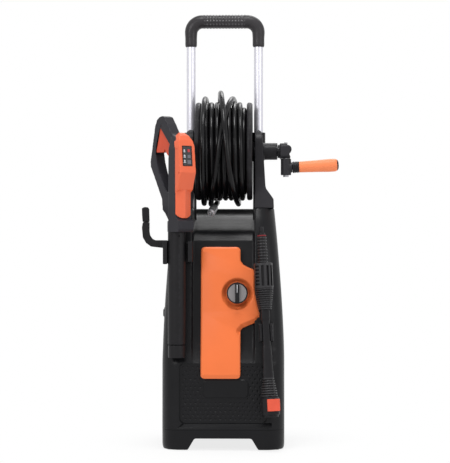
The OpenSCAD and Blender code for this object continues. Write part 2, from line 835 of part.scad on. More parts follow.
module gun_body() at_gun() color("#3c3a40") difference() {
    union() {
        intersection() {
            front_plate(-body_half, body_half) polygon(RECEIVER);
            side_plate(-BIG, BIG) polygon(SHOULDER);
        }
        zcyl(20.6, barrel_top, 500);
        front_plate(-loop_half, loop_half) polygon(LOOP);
    }
    // Room for the barrel, the head's cheeks, the trigger with its pin, and the catch.
    zcyl(barrel_d / 2 + 0.05, 0, barrel_top + 8);
    for (side = [-1, 1])
        front_plate(side > 0 ? head_wrap - 0.1 : -BIG, side > 0 ? BIG : 0.1 - head_wrap)
            offset(0.2) polygon(HEAD);
    front_plate(-trigger_half - 0.6, trigger_half + 0.6) trigger_room();
    ycyl(pivot_r + fit, -loop_half - 1, loop_half + 1, pivot_x, pivot_z);
    ycyl(lock_pin_r + fit, -loop_half - 1, loop_half + 1, lock_x, lock_z);
    front_plate(-6, 6) polygon([[lock_x - 5.4, lock_z - 8], [lock_x + 4, lock_z - 8],
        [lock_x + 4, lock_z + 20], [lock_x - 5.4, lock_z + 20]]);
}

// The orange cover: a roof with a ridge, raised to a head for the display.
roof_edge = 21.2;
roof_ridge = 30.5;
window_lean = 4.55;
window_half = 13;
window_l = 44;

module roof(x_edge, x_ridge, half) linear_extrude(BIG)
    polygon([[x_edge, -half], [x_ridge, 0], [x_edge, half], [x_edge - 30, half],
        [x_edge - 30, -half]]);

module on_window() translate([39.5, 0, 618]) rotate([0, -window_lean, 0]) children();

module gun_panel() at_gun() color(orange) difference() {
    union() {
        intersection() {
            translate([0, 0, 400]) roof(23, roof_ridge, body_half - 0.5);
            front_plate(-30, 30) polygon([[roof_edge, 516], [25, 508], [28, 505], [33, 510],
                [33, 568], [roof_edge, 568]]);
        }
        intersection() {
            front_plate(-30, 30) polygon(HEAD);
            side_plate(-BIG, BIG) polygon([[-20.5, 540], [-21.3, 600], [-21.3, 660],
                [-19, 672], [-13, 684], [-6, 691], [6, 691], [13, 684], [19, 672],
                [21.3, 660], [21.3, 600], [20.5, 540]]);
        }
    }
    front_plate(-head_wrap - 0.1, head_wrap + 0.1) offset(0.2) polygon(RECEIVER);
    on_window() block(-1.4, BIG, -window_half, window_half, 0, window_l);
}

module gun_window() at_gun() on_window() color("#2b2b2f")
    block(-1.3, -0.2, 0.2 - window_half, window_half - 0.2, 0.2, window_l - 0.2);

module gun_barrel() at_gun() color(black_part) difference() {
    union() {
        zcyl(barrel_d / 2, barrel_low + 20, barrel_top + 7.9);
        zcyl(16.4, barrel_low, barrel_low + 21);
    }
    zcyl(socket_d / 2, barrel_low - 1, barrel_low + 42);
}

pivot_x = -40;
pivot_z = 706;
pivot_r = 3;

// The trigger hangs from a pin in the strap; its pad enters the grip when it
// is pulled and its nose leaves the receiver.
module trigger_shape() polygon([[-46, 706], [-44, 711], [-36, 711], [-34, 705], [-36, 694],
    [-10.5, 665], [-8.5, 656], [-15, 641], [-20, 643], [-31, 657], [-33, 650], [-59, 650],
    [-60, 654], [-52, 680]]);

module trigger_room() {
    translate([pivot_x, pivot_z]) circle(7.6);
    polygon([[-47.5, 712], [-56, 690], [-64, 668], [-67, 645.5], [-43, 645.5], [-36, 650],
        [-7.5, 640], [-7.5, 668], [-33, 697], [-33.2, 712]]);
}

module gun_trigger() at_gun() color("#bf4a30") {
    front_plate(-trigger_half, trigger_half) trigger_shape();
    ycyl(pivot_r, -loop_half + 0.4, loop_half - 0.4, pivot_x, pivot_z);
}

// A small catch low in the opening that keeps the trigger from moving.
lock_x = -10.6;
lock_z = 560;
lock_pin_r = 2.5;

module trigger_lock() at_gun() color(black_part) {
    ycyl(lock_pin_r, -loop_half + 0.4, loop_half - 0.4, lock_x, lock_z);
    block(lock_x - 2.2, lock_x + 2.2, -5.4, 5.4, lock_z, lock_z + 46);
}

module gun_holder() placed() color(black_part) {
    block(-130, -65.5, -119.4, -96, 410, 452);
    block(-130, -120.4, -152, -119.4, 406, 458);
    block(-75.6, -65.5, -152, -119.4, 411, 456);
    // The hook for the cord: an arm to the left that turns upwards.
    front_plate(-127, -113) polygon([[-130, 458], [-148, 458], [-154, 461], [-159, 468],
        [-160.6, 476], [-160.6, hook_joint_z], [-175, hook_joint_z], [-hook_left, 486],
        [-175, 464], [-168, 452], [-157, 444], [-130, 441]]);
    zcyl(hook_pin_r, hook_joint_z, hook_joint_z + 14, hook_pin_x, -120);
}

hook_joint_z = 497.4;
hook_pin_x = -168;
hook_pin_r = 3;

module cord_hook_tip() placed() color(black_part) difference() {
    intersection() {
        front_plate(-127, -113) polygon([[-160.6, hook_joint_z + 0.4], [-161.4, 526], [-164, 530],
            [-171, 530.5], [-hook_left, 528], [-176.6, 512], [-175.4, hook_joint_z + 0.4]]);
        block(-200, -150, -126.9, -113.1, 400, 600);
    }
    zcyl(hook_pin_r + fit, 0, hook_joint_z + 14.6, hook_pin_x, -120);
}

module gun_cup() placed() color(black_part) difference() {
    union() {
        zcyl(19, 203, 230, -gun_x, -gun_y);
        block(-gun_x - 13, -gun_x + 13, -126, -112, 206, 226);
    }
    zcyl(16.8, barrel_low - 0.1, 240, -gun_x, -gun_y);
}

// ---- Lance ----

lance_top = [83.5, -124.3, 487];
lean_back = 5.05;
lean_side = 2.69;

// Lengths along the lance are counted from its tip downwards.
module on_lance() placed() translate(lance_top) rotate([-lean_back, -lean_side, 0])
    mirror([0, 0, 1]) children();

module disc(r, s0, s1) translate([0, 0, s0]) cylinder(r = r, h = s1 - s0);

waist0 = 205;
waist1 = 259;
waist_half = 8.5;

module lance_shaft() on_lance() color(black_part) difference() {
    union() {
        disc(4.8, 0, 20);
        disc(7.4, 14, 17.5);
        disc(8.7, 17.5, 21.5);
        disc(8.9, 21, 79);
        for (s = [26 : 6.5 : 66]) disc(11, s, s + 3.6);
        translate([0, 0, 79]) linear_extrude(248) square(2 * waist_half, center = true);
        translate([0, 0, 181]) linear_extrude(waist0 - 181) round_rect(-12.5, 12.5, -12, 12, 4);
        translate([0, 0, waist0]) linear_extrude(waist1 - waist0) square([2 * waist_half, 20], center = true);
        translate([0, 0, waist1]) linear_extrude(327 - waist1) round_rect(-12.5, 12.5, -12, 12, 4);
        for (s = [327 : 8 : 360]) disc(17.4, s, s + 4.5);
        disc(15, 327, 368.6);
    }
    disc(2.5, -1, 30);
}

module lance_collar() on_lance() color(black_part) difference() {
    union() {
        disc(collar_d / 2, 79.5, 134);
        translate([0, 0, 134]) rotate_extrude() polygon([[0, 0], [18.9, 0], [18.9, 6], [17.4, 7],
            [17.2, 14], [15.8, 15], [15.4, 23], [14, 24], [13.6, 32], [12.6, 33], [12.2, 46.5],
            [0, 46.5]]);
    }
    disc(12.1, 79, 190);
    for (a = [0 : 30 : 330]) rotate(a) translate([collar_d / 2 - 1.2, -2, 84]) cube([6, 4, 45]);
}

module nozzle_head() on_lance() {
    color(black_part) difference() {
        translate([1.6, 0, 0]) union() {
            disc(nozzle_d / 2 - 2, 369, 372);
            disc(nozzle_d / 2, 372, 408);
            disc(nozzle_d / 2 - 3, 408, 413);
        }
        translate([1.6, 0, 404]) cylinder(r = 6, h = 20);
    }
    color("#e8503a") translate([0, 0, 374]) linear_extrude(26)
        round_rect(-5, 22.5, -23, -6, 3);
}

// Two prongs that stand along the lance's waist on a base block, and a saddle
// behind its neck.
prong_w = 5.4;

module lance_clips() {
    placed() color(black_part) {
        block(77, 110, -124, -108, 236, 278);
        block(77, 95, -115.5, -92, 428, 444);
    }
    on_lance() color(black_part) for (side = [-1, 1])
        translate([side * (waist_half + 0.5 + prong_w / 2) - prong_w / 2, -8.6, waist0 + 6])
            cube([prong_w, 32, 38]);
}

// ---- Draw the chosen node ----
front_cover();
rear_cover();
base_tray();
rubber_feet();
left_arm();
right_arm();
switch_panel();
vent_grille();
switch_body();
cord_gland();
gun_holder();
cord_hook_tip();
gun_cup();
lance_clips();
motor_can();
motor_rotor();
cooling_fan();
pump_case();
pump_head();
unloader_valve();
control_box();
water_inlet();
swivel_housing();
supply_hose();
wheel_axle();
left_wheel();
left_tyre();
right_wheel();
right_tyre();
guide_tubes();
housing_screws();
power_knob();
knob_inlays();
switch_shaft();
handle_tube();
handle_grip();
left_lock_button();
right_lock_button();
reel_drum();
left_flange();
right_flange();
reel_axle();
hose_core();
hose_winding();
hose_outlet();
hose_sleeve();
hose_fitting();
crank_arm();
crank_knuckle();
crank_pin();
crank_grip();
gun_body();
gun_panel();
gun_window();
gun_barrel();
gun_trigger();
trigger_lock();
lance_shaft();
lance_collar();
nozzle_head();
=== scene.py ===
import math

import bmesh
import bpy
import numpy as np
from mathutils import Matrix, Vector


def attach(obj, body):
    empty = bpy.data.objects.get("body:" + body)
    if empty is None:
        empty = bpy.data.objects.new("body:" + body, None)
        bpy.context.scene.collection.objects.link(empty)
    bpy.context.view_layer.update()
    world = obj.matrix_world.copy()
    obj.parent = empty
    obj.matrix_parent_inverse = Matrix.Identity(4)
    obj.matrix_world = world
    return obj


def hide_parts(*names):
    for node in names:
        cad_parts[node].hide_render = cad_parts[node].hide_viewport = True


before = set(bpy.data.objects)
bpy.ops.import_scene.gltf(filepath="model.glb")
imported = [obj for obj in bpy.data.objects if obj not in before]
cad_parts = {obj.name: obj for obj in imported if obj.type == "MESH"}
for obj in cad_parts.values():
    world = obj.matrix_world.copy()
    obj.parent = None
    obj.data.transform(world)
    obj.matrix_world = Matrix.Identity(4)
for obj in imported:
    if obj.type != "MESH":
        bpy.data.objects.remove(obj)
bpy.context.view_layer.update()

# Lengths are in millimetres from the housing's middle and the reel's axis,
# as in the CAD source; place() turns them into metres in the model's frame.
MM = 0.001
MID_X, MID_Y = -39.15, -3.25
AXIS_Z = 657.0


def place(x, y, z):
    return Vector(((x + MID_X) * MM, (y + MID_Y) * MM, z * MM))


def linked(name, data):
    """A new object that the scene shows."""
    item = bpy.data.objects.new(name, data)
    bpy.context.scene.collection.objects.link(item)
    return item


# ---- camera

VIEW_DISTANCE = 4000.0
VIEW_HEIGHT = 477.0
VIEW_TURN = math.radians(1.3)
VIEW_CENTRE_X = 1.6
MM_PER_PIXEL = 2.25
IMAGE_WIDTH = 450
SENSOR = 36.0
VIEW_DEPTH_M = 60


def make_camera():
    data = bpy.data.cameras.new("camera")
    data.sensor_fit = "HORIZONTAL"
    data.sensor_width = SENSOR
    data.lens = SENSOR * VIEW_DISTANCE / (IMAGE_WIDTH * MM_PER_PIXEL)
    data.clip_end = VIEW_DEPTH_M
    camera = linked("camera", data)
    back = Vector((math.sin(VIEW_TURN), -math.cos(VIEW_TURN), 0))
    camera.location = place(VIEW_CENTRE_X, 0, VIEW_HEIGHT) + back * VIEW_DISTANCE * MM
    camera.rotation_euler = (math.pi / 2, 0, VIEW_TURN)
    bpy.context.scene.camera = camera


# ---- mesh tools

def new_piece(name, mesh, body, look, sharp=None, node=None):
    """A piece that rides on a body, and may take a CAD node's place.

    Its shading is smooth where faces meet at less than the sharp angle, or flat without one.
    """
    if sharp:
        mesh.shade_smooth()
        mesh.set_sharp_from_angle(angle=math.radians(sharp))
    piece = linked(name, mesh)
    mesh.materials.clear()
    mesh.materials.append(LOOK[look])
    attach(piece, body)
    if node:
        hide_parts(node)
    return piece


def mesh_from(verts, faces):
    mesh = bpy.data.meshes.new("mesh")
    mesh.from_pydata([tuple(v) for v in verts], [], faces)
    mesh.update()
    return mesh


def remade(*sources, work=None, into=None):
    """One mesh out of others, after some work on it; a given mesh takes the result."""
    build = bmesh.new()
    for source in sources:
        build.from_mesh(source)
    if work:
        work(build)
    result = into or bpy.data.meshes.new("mesh")
    build.to_mesh(result)
    build.free()
    return result


def face_out(build):
    bmesh.ops.recalc_face_normals(build, faces=build.faces)


def merge_doubles(build):
    bmesh.ops.remove_doubles(build, verts=build.verts, dist=1e-6)


def outward(mesh):
    """Turns every face of a closed mesh to the outside."""
    return remade(mesh, work=face_out, into=mesh)


def clean(mesh):
    """Merges doubled points, so that a remesh and a smooth shading start well."""
    return remade(mesh, work=merge_doubles, into=mesh)


def strip_faces(rows, count, around):
    """Four-sided faces between rows of points of the same count."""
    faces = []
    for row in range(0, (rows - 1) * count, count):
        for i in range(count if around else count - 1):
            j = (i + 1) % count
            faces.append((row + i, row + j, row + count + j, row + count + i))
    return faces


def loft(rings):
    """A closed skin over rings of points of the same count."""
    count = len(rings[0])
    faces = strip_faces(len(rings), count, True)
    faces.append(tuple(range(count - 1, -1, -1)))
    faces.append(tuple((len(rings) - 1) * count + i for i in range(count)))
    return mesh_from([point for ring in rings for point in ring], faces)


def applied(mesh, *modifiers):
    """The mesh after modifiers, each given as (type, {setting: value})."""
    holder = linked("holder", mesh)
    for kind, settings in modifiers:
        modifier = holder.modifiers.new(kind.lower(), kind)
        for key, value in settings.items():
            setattr(modifier, key, value)
    depsgraph = bpy.context.evaluated_depsgraph_get()
    result = bpy.data.meshes.new_from_object(holder.evaluated_get(depsgraph))
    bpy.data.objects.remove(holder)
    return result


def cut(mesh, *cutters, operation="DIFFERENCE"):
    """Boolean of a mesh with other meshes, one after the other."""
    for cutter in cutters:
        tool = linked("cutter", cutter)
        mesh = applied(mesh, ("BOOLEAN", {"operation": operation, "object": tool,
                                          "solver": "MANIFOLD"}))
        bpy.data.objects.remove(tool)
    return mesh


def soften(mesh, voxel, smoothing):
    """Rounds every edge a little, as moulding does: a fine remesh, then a smoothing."""
    return applied(mesh, ("REMESH", {"mode": "VOXEL", "voxel_size": voxel * MM}),
                   ("SMOOTH", {"iterations": smoothing, "factor": 0.5}))


def thin(mesh, degrees):
    """Joins faces that lie flat, so that a remeshed piece stays light."""
    return applied(mesh, ("DECIMATE", {"decimate_type": "DISSOLVE",
                                       "angle_limit": math.radians(degrees)}))


def prism(outline, low, high, axis="y"):
    """A closed solid: an outline of pairs, pulled along an axis between two values."""
    order = {"x": lambda a, b, d: place(d, a, b), "y": lambda a, b, d: place(a, d, b),
             "z": lambda a, b, d: place(a, b, d)}[axis]
    return outward(loft([[order(a, b, d) for a, b in outline] for d in (low, high)]))


def arc(cx, cy, r, start, sweep, steps):
    """Pairs along an arc, both ends included, from a start angle in degrees."""
    points = []
    for k in range(steps + 1):
        a = math.radians(start + sweep * k / steps)
        points.append((cx + r * math.cos(a), cy + r * math.sin(a)))
    return points


def circle(cx, cy, r, steps=48):
    return [(cx + r * math.cos(math.tau * k / steps), cy + r * math.sin(math.tau * k / steps))
            for k in range(steps)]


def revolve(profile, matrix, steps):
    """Turns a profile of (radius, height) pairs about Z, then moves it."""
    count = len(profile)
    verts, faces = [], []
    for k, (x, y) in enumerate(circle(0, 0, 1, steps)):
        verts += [Vector((r * x, r * y, h)) * MM for r, h in profile]
        this, after = k * count, (k + 1) % steps * count
        faces += [(this + i, after + i, after + i + 1, this + i + 1) for i in range(count - 1)]

    def work(build):
        merge_doubles(build)
        bmesh.ops.dissolve_degenerate(build, edges=build.edges, dist=1e-7)
        face_out(build)

    mesh = remade(mesh_from(verts, faces), work=work)
    mesh.transform(matrix)
    return mesh


def lathe(matrix, *profiles, steps=72):
    """Closed solids of revolution from (radius, height) outlines, as one mesh."""
    return remade(*(outward(revolve(p + [p[0]], matrix, steps)) for p in profiles))


def smooth_lookup(value, table):
    """Monotone cubic interpolation in a table of (position, value)."""
    xs, ys = zip(*table)
    if value <= xs[0]:
        return ys[0]
    if value >= xs[-1]:
        return ys[-1]
    k = max(i for i in range(len(xs) - 1) if xs[i] <= value)
    slopes = [(ys[i + 1] - ys[i]) / (xs[i + 1] - xs[i]) for i in range(len(xs) - 1)]

    def tangent(i):
        a, b = slopes[max(i - 1, 0)], slopes[min(i, len(slopes) - 1)]
        return 0.0 if a * b <= 0 else 2 * a * b / (a + b)

    h = xs[k + 1] - xs[k]
    t = (value - xs[k]) / h
    return ((1 + 2 * t) * (1 - t) ** 2 * ys[k] + t * (1 - t) ** 2 * h * tangent(k)
            + t * t * (3 - 2 * t) * ys[k + 1] + t * t * (t - 1) * h * tangent(k + 1))


def rounded_rect(x0, x1, z0, z1, r, steps=8):
    """A rectangle's outline with soft corners."""
    corners = [Vector(corner) for corner in ((x0, z0), (x1, z0), (x1, z1), (x0, z1))]
    result = []
    for i, p in enumerate(corners):
        a = p + (corners[i - 1] - p).normalized() * r
        b = p + (corners[(i + 1) % 4] - p).normalized() * r
        for t in (k / steps for k in range(steps + 1)):
            result.append(tuple(a * (1 - t) ** 2 + p * 2 * t * (1 - t) + b * t * t))
    return result


def levels(low, high, step):
    """Values from low to high, evenly spaced at about a step."""
    count = max(1, round((high - low) / step))
    return [low + (high - low) * k / count for k in range(count + 1)]


def turned(origin, *turns):
    """A matrix from a part's own millimetres to the model's frame."""
    matrix = Matrix.Translation(place(*origin))
    for degrees, axis in turns:
        matrix = matrix @ Matrix.Rotation(math.radians(degrees), 4, axis)
    return matrix


def own(matrix, x, y, z):
    """A point given in a part's own millimetres."""
    return matrix @ (Vector((x, y, z)) * MM)


def rod(matrix, a, b, radius, sides=32):
    """A closed cylinder between two points given in a part's own millimetres."""
    a, b = own(matrix, *a), own(matrix, *b)
    along = (b - a).normalized()
    side = along.orthogonal().normalized()
    up = along.cross(side)
    return outward(loft([[middle + (side * x + up * y) * radius * MM
                          for x, y in circle(0, 0, 1, sides)] for middle in (a, b)]))


def bar(matrix, x0, x1, y0, y1, z0, z1):
    """A closed block in a part's own millimetres."""
    ring = [(x0, y0), (x1, y0), (x1, y1), (x0, y1)]
    return outward(loft([[own(matrix, x, y, z) for x, y in ring] for z in (z0, z1)]))


def paint(piece, look, matrix, test):
    """Gives a material to the faces whose middle, in a part's own millimetres, passes a test."""
    inverse = matrix.inverted()
    slot = len(piece.data.materials)
    piece.data.materials.append(LOOK[look])
    for face in piece.data.polygons:
        if test(*(inverse @ face.center / MM)):
            face.material_index = slot


WORLD = turned((0, 0, 0))
GUN = turned((-100, -140, 0), (-50, "Z"))
LANCE = turned((83.5, -124.3, 487), (-2.69, "Y"), (-5.05, "X")) \
    @ Matrix.Diagonal((1, 1, -1, 1))
GRIP = turned((138, -52, 618.5), (87, "Y"))


# ---- materials

def srgb(r, g, b):
    """Linear colour from 8-bit sRGB values."""
    def linear(c):
        c /= 255
        return c / 12.92 if c <= 0.04045 else ((c + 0.055) / 1.055) ** 2.4
    return (linear(r), linear(g), linear(b), 1.0)


class Build:
    """A material's node tree, with short names for the nodes used below."""

    def __init__(self, name):
        self.material = bpy.data.materials.new(name)
        self.material.use_nodes = True
        self.tree = self.material.node_tree
        self.shader = self.tree.nodes["Principled BSDF"]
        self.where = self.node("ShaderNodeTexCoord").outputs["Object"]

    def node(self, kind, **settings):
        node = self.tree.nodes.new(kind)
        for key, value in settings.items():
            setattr(node, key, value)
        return node

    def link(self, a, b):
        self.tree.links.new(a, b)

    def scaled(self, x, y, z):
        """Object coordinates stretched along the axes."""
        node = self.node("ShaderNodeMapping")
        self.link(self.where, node.inputs["Vector"])
        node.inputs["Scale"].default_value = (x, y, z)
        return node.outputs["Vector"]

    def noise(self, scale, detail=2.0, rough=0.5, where=None):
        node = self.node("ShaderNodeTexNoise")
        node.inputs["Scale"].default_value = scale
        node.inputs["Detail"].default_value = detail
        node.inputs["Roughness"].default_value = rough
        self.link(where or self.where, node.inputs["Vector"])
        return node.outputs["Fac"]

    def cells(self, scale):
        node = self.node("ShaderNodeTexVoronoi", feature="F1")
        node.inputs["Scale"].default_value = scale
        self.link(self.where, node.inputs["Vector"])
        return node.outputs["Distance"]

    def remap(self, value, low, high, to_low, to_high):
        node = self.node("ShaderNodeMapRange", clamp=True)
        for key, number in (("From Min", low), ("From Max", high), ("To Min", to_low),
                            ("To Max", to_high)):
            node.inputs[key].default_value = number
        self.link(value, node.inputs["Value"])
        return node.outputs["Result"]

    def feed(self, socket, value):
        """Sets a socket to a number or a colour, or links an output to it."""
        if isinstance(value, (int, float, tuple)):
            socket.default_value = value
        else:
            self.link(value, socket)

    def mix(self, factor, a, b):
        """Blend of two colours, each a colour or an output."""
        node = self.node("ShaderNodeMix", data_type="RGBA")
        for index, value in ((0, factor), (6, a), (7, b)):
            self.feed(node.inputs[index], value)
        return node.outputs[2]

    def blend(self, value, low, high, a, b, most=1):
        """From colour a to colour b, or part of the way, as a value goes from low to high."""
        return self.mix(self.remap(value, low, high, 0, most), a, b)

    def math(self, operation, a, b):
        node = self.node("ShaderNodeMath", operation=operation)
        self.feed(node.inputs[0], a)
        self.feed(node.inputs[1], b)
        return node.outputs[0]

    def bump(self, height, strength, distance, normal=None):
        node = self.node("ShaderNodeBump")
        node.inputs["Strength"].default_value = strength
        node.inputs["Distance"].default_value = distance
        self.link(height, node.inputs["Height"])
        if normal:
            self.link(normal, node.inputs["Normal"])
        return node.outputs["Normal"]

    def edges(self, reach):
        """1 on sharp convex edges, 0 on flat and hollow places."""
        node = self.node("ShaderNodeNewGeometry")
        return self.remap(node.outputs["Pointiness"], 0.5, 0.5 + reach, 0.0, 1.0)

    def set(self, **values):
        for key, value in values.items():
            self.feed(self.shader.inputs[key.replace("_", " ")], value)
        return self.material


def dimmed(colour, factor):
    return tuple(c * factor for c in colour[:3]) + (1.0,)


def moulded(name, colour, rough=0.5, grain=1.0, specular=0.3, dark=0.86, worn=None):
    """Moulded plastic: a fine grain, soft waves, an uneven tone, and edges rubbed paler."""
    b = Build(name)
    fine = b.noise(1500, 3)
    broad = b.noise(9, 3, 0.6)
    waves = b.noise(70, 1)
    tone = b.blend(broad, 0.35, 0.65, dimmed(colour, dark), colour)
    if worn:
        spots = b.math("MULTIPLY", b.edges(0.06), b.remap(b.noise(120, 3), 0.45, 0.7, 0, 1))
        tone = b.mix(spots, tone, worn)
    roughness = b.math("ADD", b.remap(broad, 0.3, 0.7, rough - 0.06, rough + 0.06),
                       b.remap(fine, 0.3, 0.7, -0.03, 0.03))
    normal = b.bump(waves, 0.06, 0.002, b.bump(fine, 0.35 * grain, 0.0003))
    return b.set(Base_Color=tone, Roughness=roughness, Normal=normal, Specular_IOR_Level=specular)


def metal(name, colour, rough=0.25, brushed=(40, 40, 1), metallic=1.0, depth=0.05):
    """Drawn or turned metal: fine lines along one direction and faint smears."""
    b = Build(name)
    lines = b.noise(28, 3, 0.5, b.scaled(*brushed))
    smears = b.noise(14, 3)
    tone = b.blend(smears, 0.35, 0.7, colour, dimmed(colour, 0.94))
    roughness = b.math("ADD", b.remap(lines, 0.3, 0.7, rough - 0.03, rough + 0.03),
                       b.remap(smears, 0.3, 0.7, -0.03, 0.04))
    b.set(Base_Color=tone, Roughness=roughness, Metallic=metallic)
    return b.set(Normal=b.bump(lines, depth, 0.0002)) if depth else b.material


def jacket(name):
    """The hose's rubber skin: satin, with a fine grain and a little dust."""
    b = Build(name)
    grain = b.noise(900, 3)
    dust = b.noise(30, 4, 0.65)
    tone = b.blend(dust, 0.4, 0.75, srgb(9, 9, 10), srgb(18, 17, 20))
    roughness = b.remap(dust, 0.3, 0.7, 0.17, 0.25)
    return b.set(Base_Color=tone, Roughness=roughness, Specular_IOR_Level=0.22,
                 Normal=b.bump(grain, 0.25, 0.0003))


def rubber_skin(name, colour=(36, 35, 37)):
    """Tyre and foot rubber: matt, with a crumb grain and a dusty bloom."""
    b = Build(name)
    crumbs = b.cells(900)
    bloom = b.noise(22, 4, 0.65)
    base = srgb(*colour)
    dusty = srgb(*(min(255, c + 22) for c in colour))
    tone = b.blend(bloom, 0.42, 0.72, base, dusty, 0.8)
    return b.set(Base_Color=tone, Roughness=b.remap(bloom, 0.3, 0.7, 0.68, 0.86),
                 Specular_IOR_Level=0.14, Normal=b.bump(crumbs, 0.3, 0.0004))


def cast(name, colour, rough=0.5, metallic=0.85):
    """Cast metal: coarse sand grain and cloudy oxide."""
    b = Build(name)
    sand = b.cells(700)
    cloud = b.noise(35, 4, 0.65)
    tone = b.blend(cloud, 0.4, 0.7, colour, dimmed(colour, 0.62))
    return b.set(Base_Color=tone, Metallic=metallic,
                 Roughness=b.remap(cloud, 0.3, 0.7, rough - 0.1, rough + 0.12),
                 Normal=b.bump(sand, 0.35, 0.0005))


def screen(name):
    """The display's window: smoky plastic with faint smears."""
    b = Build(name)
    smear = b.noise(160, 3)
    tone = b.blend(smear, 0.4, 0.7, srgb(26, 25, 28), srgb(34, 33, 37))
    return b.set(Base_Color=tone, Roughness=b.remap(smear, 0.3, 0.7, 0.1, 0.22),
                 Specular_IOR_Level=0.5, Coat_Weight=0.35, Coat_Roughness=0.08)


LOOK = {
    "housing": moulded("housing_black", srgb(22, 22, 24), 0.34, specular=0.15),
    "part": moulded("part_black", srgb(28, 27, 29), 0.4, specular=0.15, worn=srgb(40, 39, 42)),
    "arm": moulded("arm_gray", srgb(42, 41, 44), 0.4, specular=0.15),
    "gun": moulded("gun_gray", srgb(44, 43, 48), 0.38, specular=0.17, worn=srgb(62, 60, 67)),
    "orange": moulded("panel_orange", srgb(238, 120, 66), 0.34, 0.6, 0.22, dark=0.95),
    "orange_gun": moulded("gun_orange", srgb(230, 106, 70), 0.32, 0.6, 0.28, dark=0.94),
    "orange_grip": moulded("grip_orange", srgb(244, 138, 90), 0.4, 0.8, 0.2, dark=0.94),
    "trigger": moulded("trigger_red", srgb(205, 78, 50), 0.36, 0.6, 0.26),
    "red": moulded("tab_red", srgb(228, 92, 68), 0.4, 0.6, 0.24),
    "gray": moulded("knob_gray", srgb(138, 134, 135), 0.45, 0.9, 0.25),
    "hose": jacket("hose_jacket"),
    "tyre": rubber_skin("tyre_rubber"),
    "foot": rubber_skin("foot_rubber", (28, 28, 30)),
    "seal": rubber_skin("seal_red", (128, 44, 48)),
    "grip": moulded("grip_skin", srgb(48, 46, 48), 0.36, 1.2, 0.22, dark=0.9),
    # Painted highlight: raised ribs and rims of the lance and collar take this paler grey, so the
    # black grooves between them read as shade.
    "raised_painted_highlight": moulded("raised_faces_painted_highlight", srgb(48, 47, 49), 0.34, specular=0.26),
    # Painted highlight: the pips are paler than the grip so they read as small glints; their
    # higher gloss is their own.
    "pip_painted_glint": moulded("grip_pips_painted_glint", srgb(62, 60, 62), 0.2, 0.3, 0.6),
    "tube": metal("silver_tube", srgb(216, 215, 223), 0.4, (3, 3, 0.2), metallic=0.7, depth=0),
    "plated": metal("plated_steel", srgb(222, 221, 224), 0.3, (6, 6, 6), metallic=0.6),
    "steel": metal("steel", srgb(150, 150, 154), 0.34, (20, 20, 2)),
    "pump": cast("cast_pump", srgb(146, 149, 154)),
    "brass": metal("brass", srgb(190, 150, 84), 0.3, (12, 12, 12)),
    "iron": cast("motor_iron", srgb(120, 98, 84), 0.55, 0.6),
    "screen": screen("display_window"),
    "lamp": moulded("display_lamp", srgb(186, 52, 58), 0.3, 0.4, 0.4),
    "plate": moulded("display_plate", srgb(104, 104, 112), 0.3, 0.4, 0.4),
    "mark": moulded("pale_mark", srgb(206, 206, 210), 0.5, 0.4, 0.3),
}


# ---- light

FILL_COLOUR, FILL_STRENGTH = (0.98, 0.99, 1.0, 1), 0.42
WHITE = (1, 1, 1, 1)
FLOOR_SIDE = 6
FLOOR_TONE = (0.96, 0.96, 0.96, 1)
SHADOW_NEAR, SHADOW_FAR = 0.12, 0.36
GLOW_NEAR, GLOW_FAR = 0.8, 1.0


def make_world():
    """White for the camera and for reflections, a softer fill for matt surfaces."""
    world = bpy.data.worlds.new("world")
    world.use_nodes = True
    bpy.context.scene.world = world
    tree = world.node_tree
    tree.nodes.clear()

    def background(colour, strength):
        node = tree.nodes.new("ShaderNodeBackground")
        node.inputs["Color"].default_value = colour
        node.inputs["Strength"].default_value = strength
        return node.outputs[0]

    path = tree.nodes.new("ShaderNodeLightPath")
    clear = path.outputs["Is Camera Ray"]
    for ray in ("Is Glossy Ray", "Is Transmission Ray"):
        either = tree.nodes.new("ShaderNodeMath")
        either.operation = "MAXIMUM"
        tree.links.new(clear, either.inputs[0])
        tree.links.new(path.outputs[ray], either.inputs[1])
        clear = either.outputs[0]
    mix = tree.nodes.new("ShaderNodeMixShader")
    tree.links.new(clear, mix.inputs[0])
    tree.links.new(background(FILL_COLOUR, FILL_STRENGTH), mix.inputs[1])
    tree.links.new(background(WHITE, 1.0), mix.inputs[2])
    out = tree.nodes.new("ShaderNodeOutputWorld")
    tree.links.new(mix.outputs[0], out.inputs["Surface"])


def lamp(name, where, aim_height, size, power):
    """A round lamp that aims at the object's middle line."""
    data = bpy.data.lights.new(name, "AREA")
    data.shape = "DISK"
    data.size = size
    data.energy = power
    item = linked(name, data)
    item.location = where
    aim = Vector((0, 0, aim_height)) - Vector(where)
    item.rotation_euler = aim.to_track_quat("-Z", "Y").to_euler()


def make_floor():
    """White ground: it takes the contact shadow near the feet and is plain further out."""
    s = FLOOR_SIDE
    floor = linked("floor", mesh_from([(-s, -s, 0), (s, -s, 0), (s, s, 0), (-s, s, 0)],
                                      [(0, 1, 2, 3)]))
    b = Build("pale_floor")
    b.set(Base_Color=FLOOR_TONE, Roughness=0.7, Specular_IOR_Level=0.0)
    reach = b.node("ShaderNodeVectorMath", operation="LENGTH")
    b.link(b.where, reach.inputs[0])
    plain = b.node("ShaderNodeEmission")
    plain.inputs["Color"].default_value = WHITE
    mix = b.node("ShaderNodeMixShader")
    b.link(b.remap(reach.outputs["Value"], SHADOW_NEAR, SHADOW_FAR, GLOW_NEAR, GLOW_FAR),
           mix.inputs[0])
    b.link(b.shader.outputs[0], mix.inputs[1])
    b.link(plain.outputs[0], mix.inputs[2])
    b.link(mix.outputs[0], b.tree.nodes["Material Output"].inputs["Surface"])
    floor.data.materials.append(b.material)


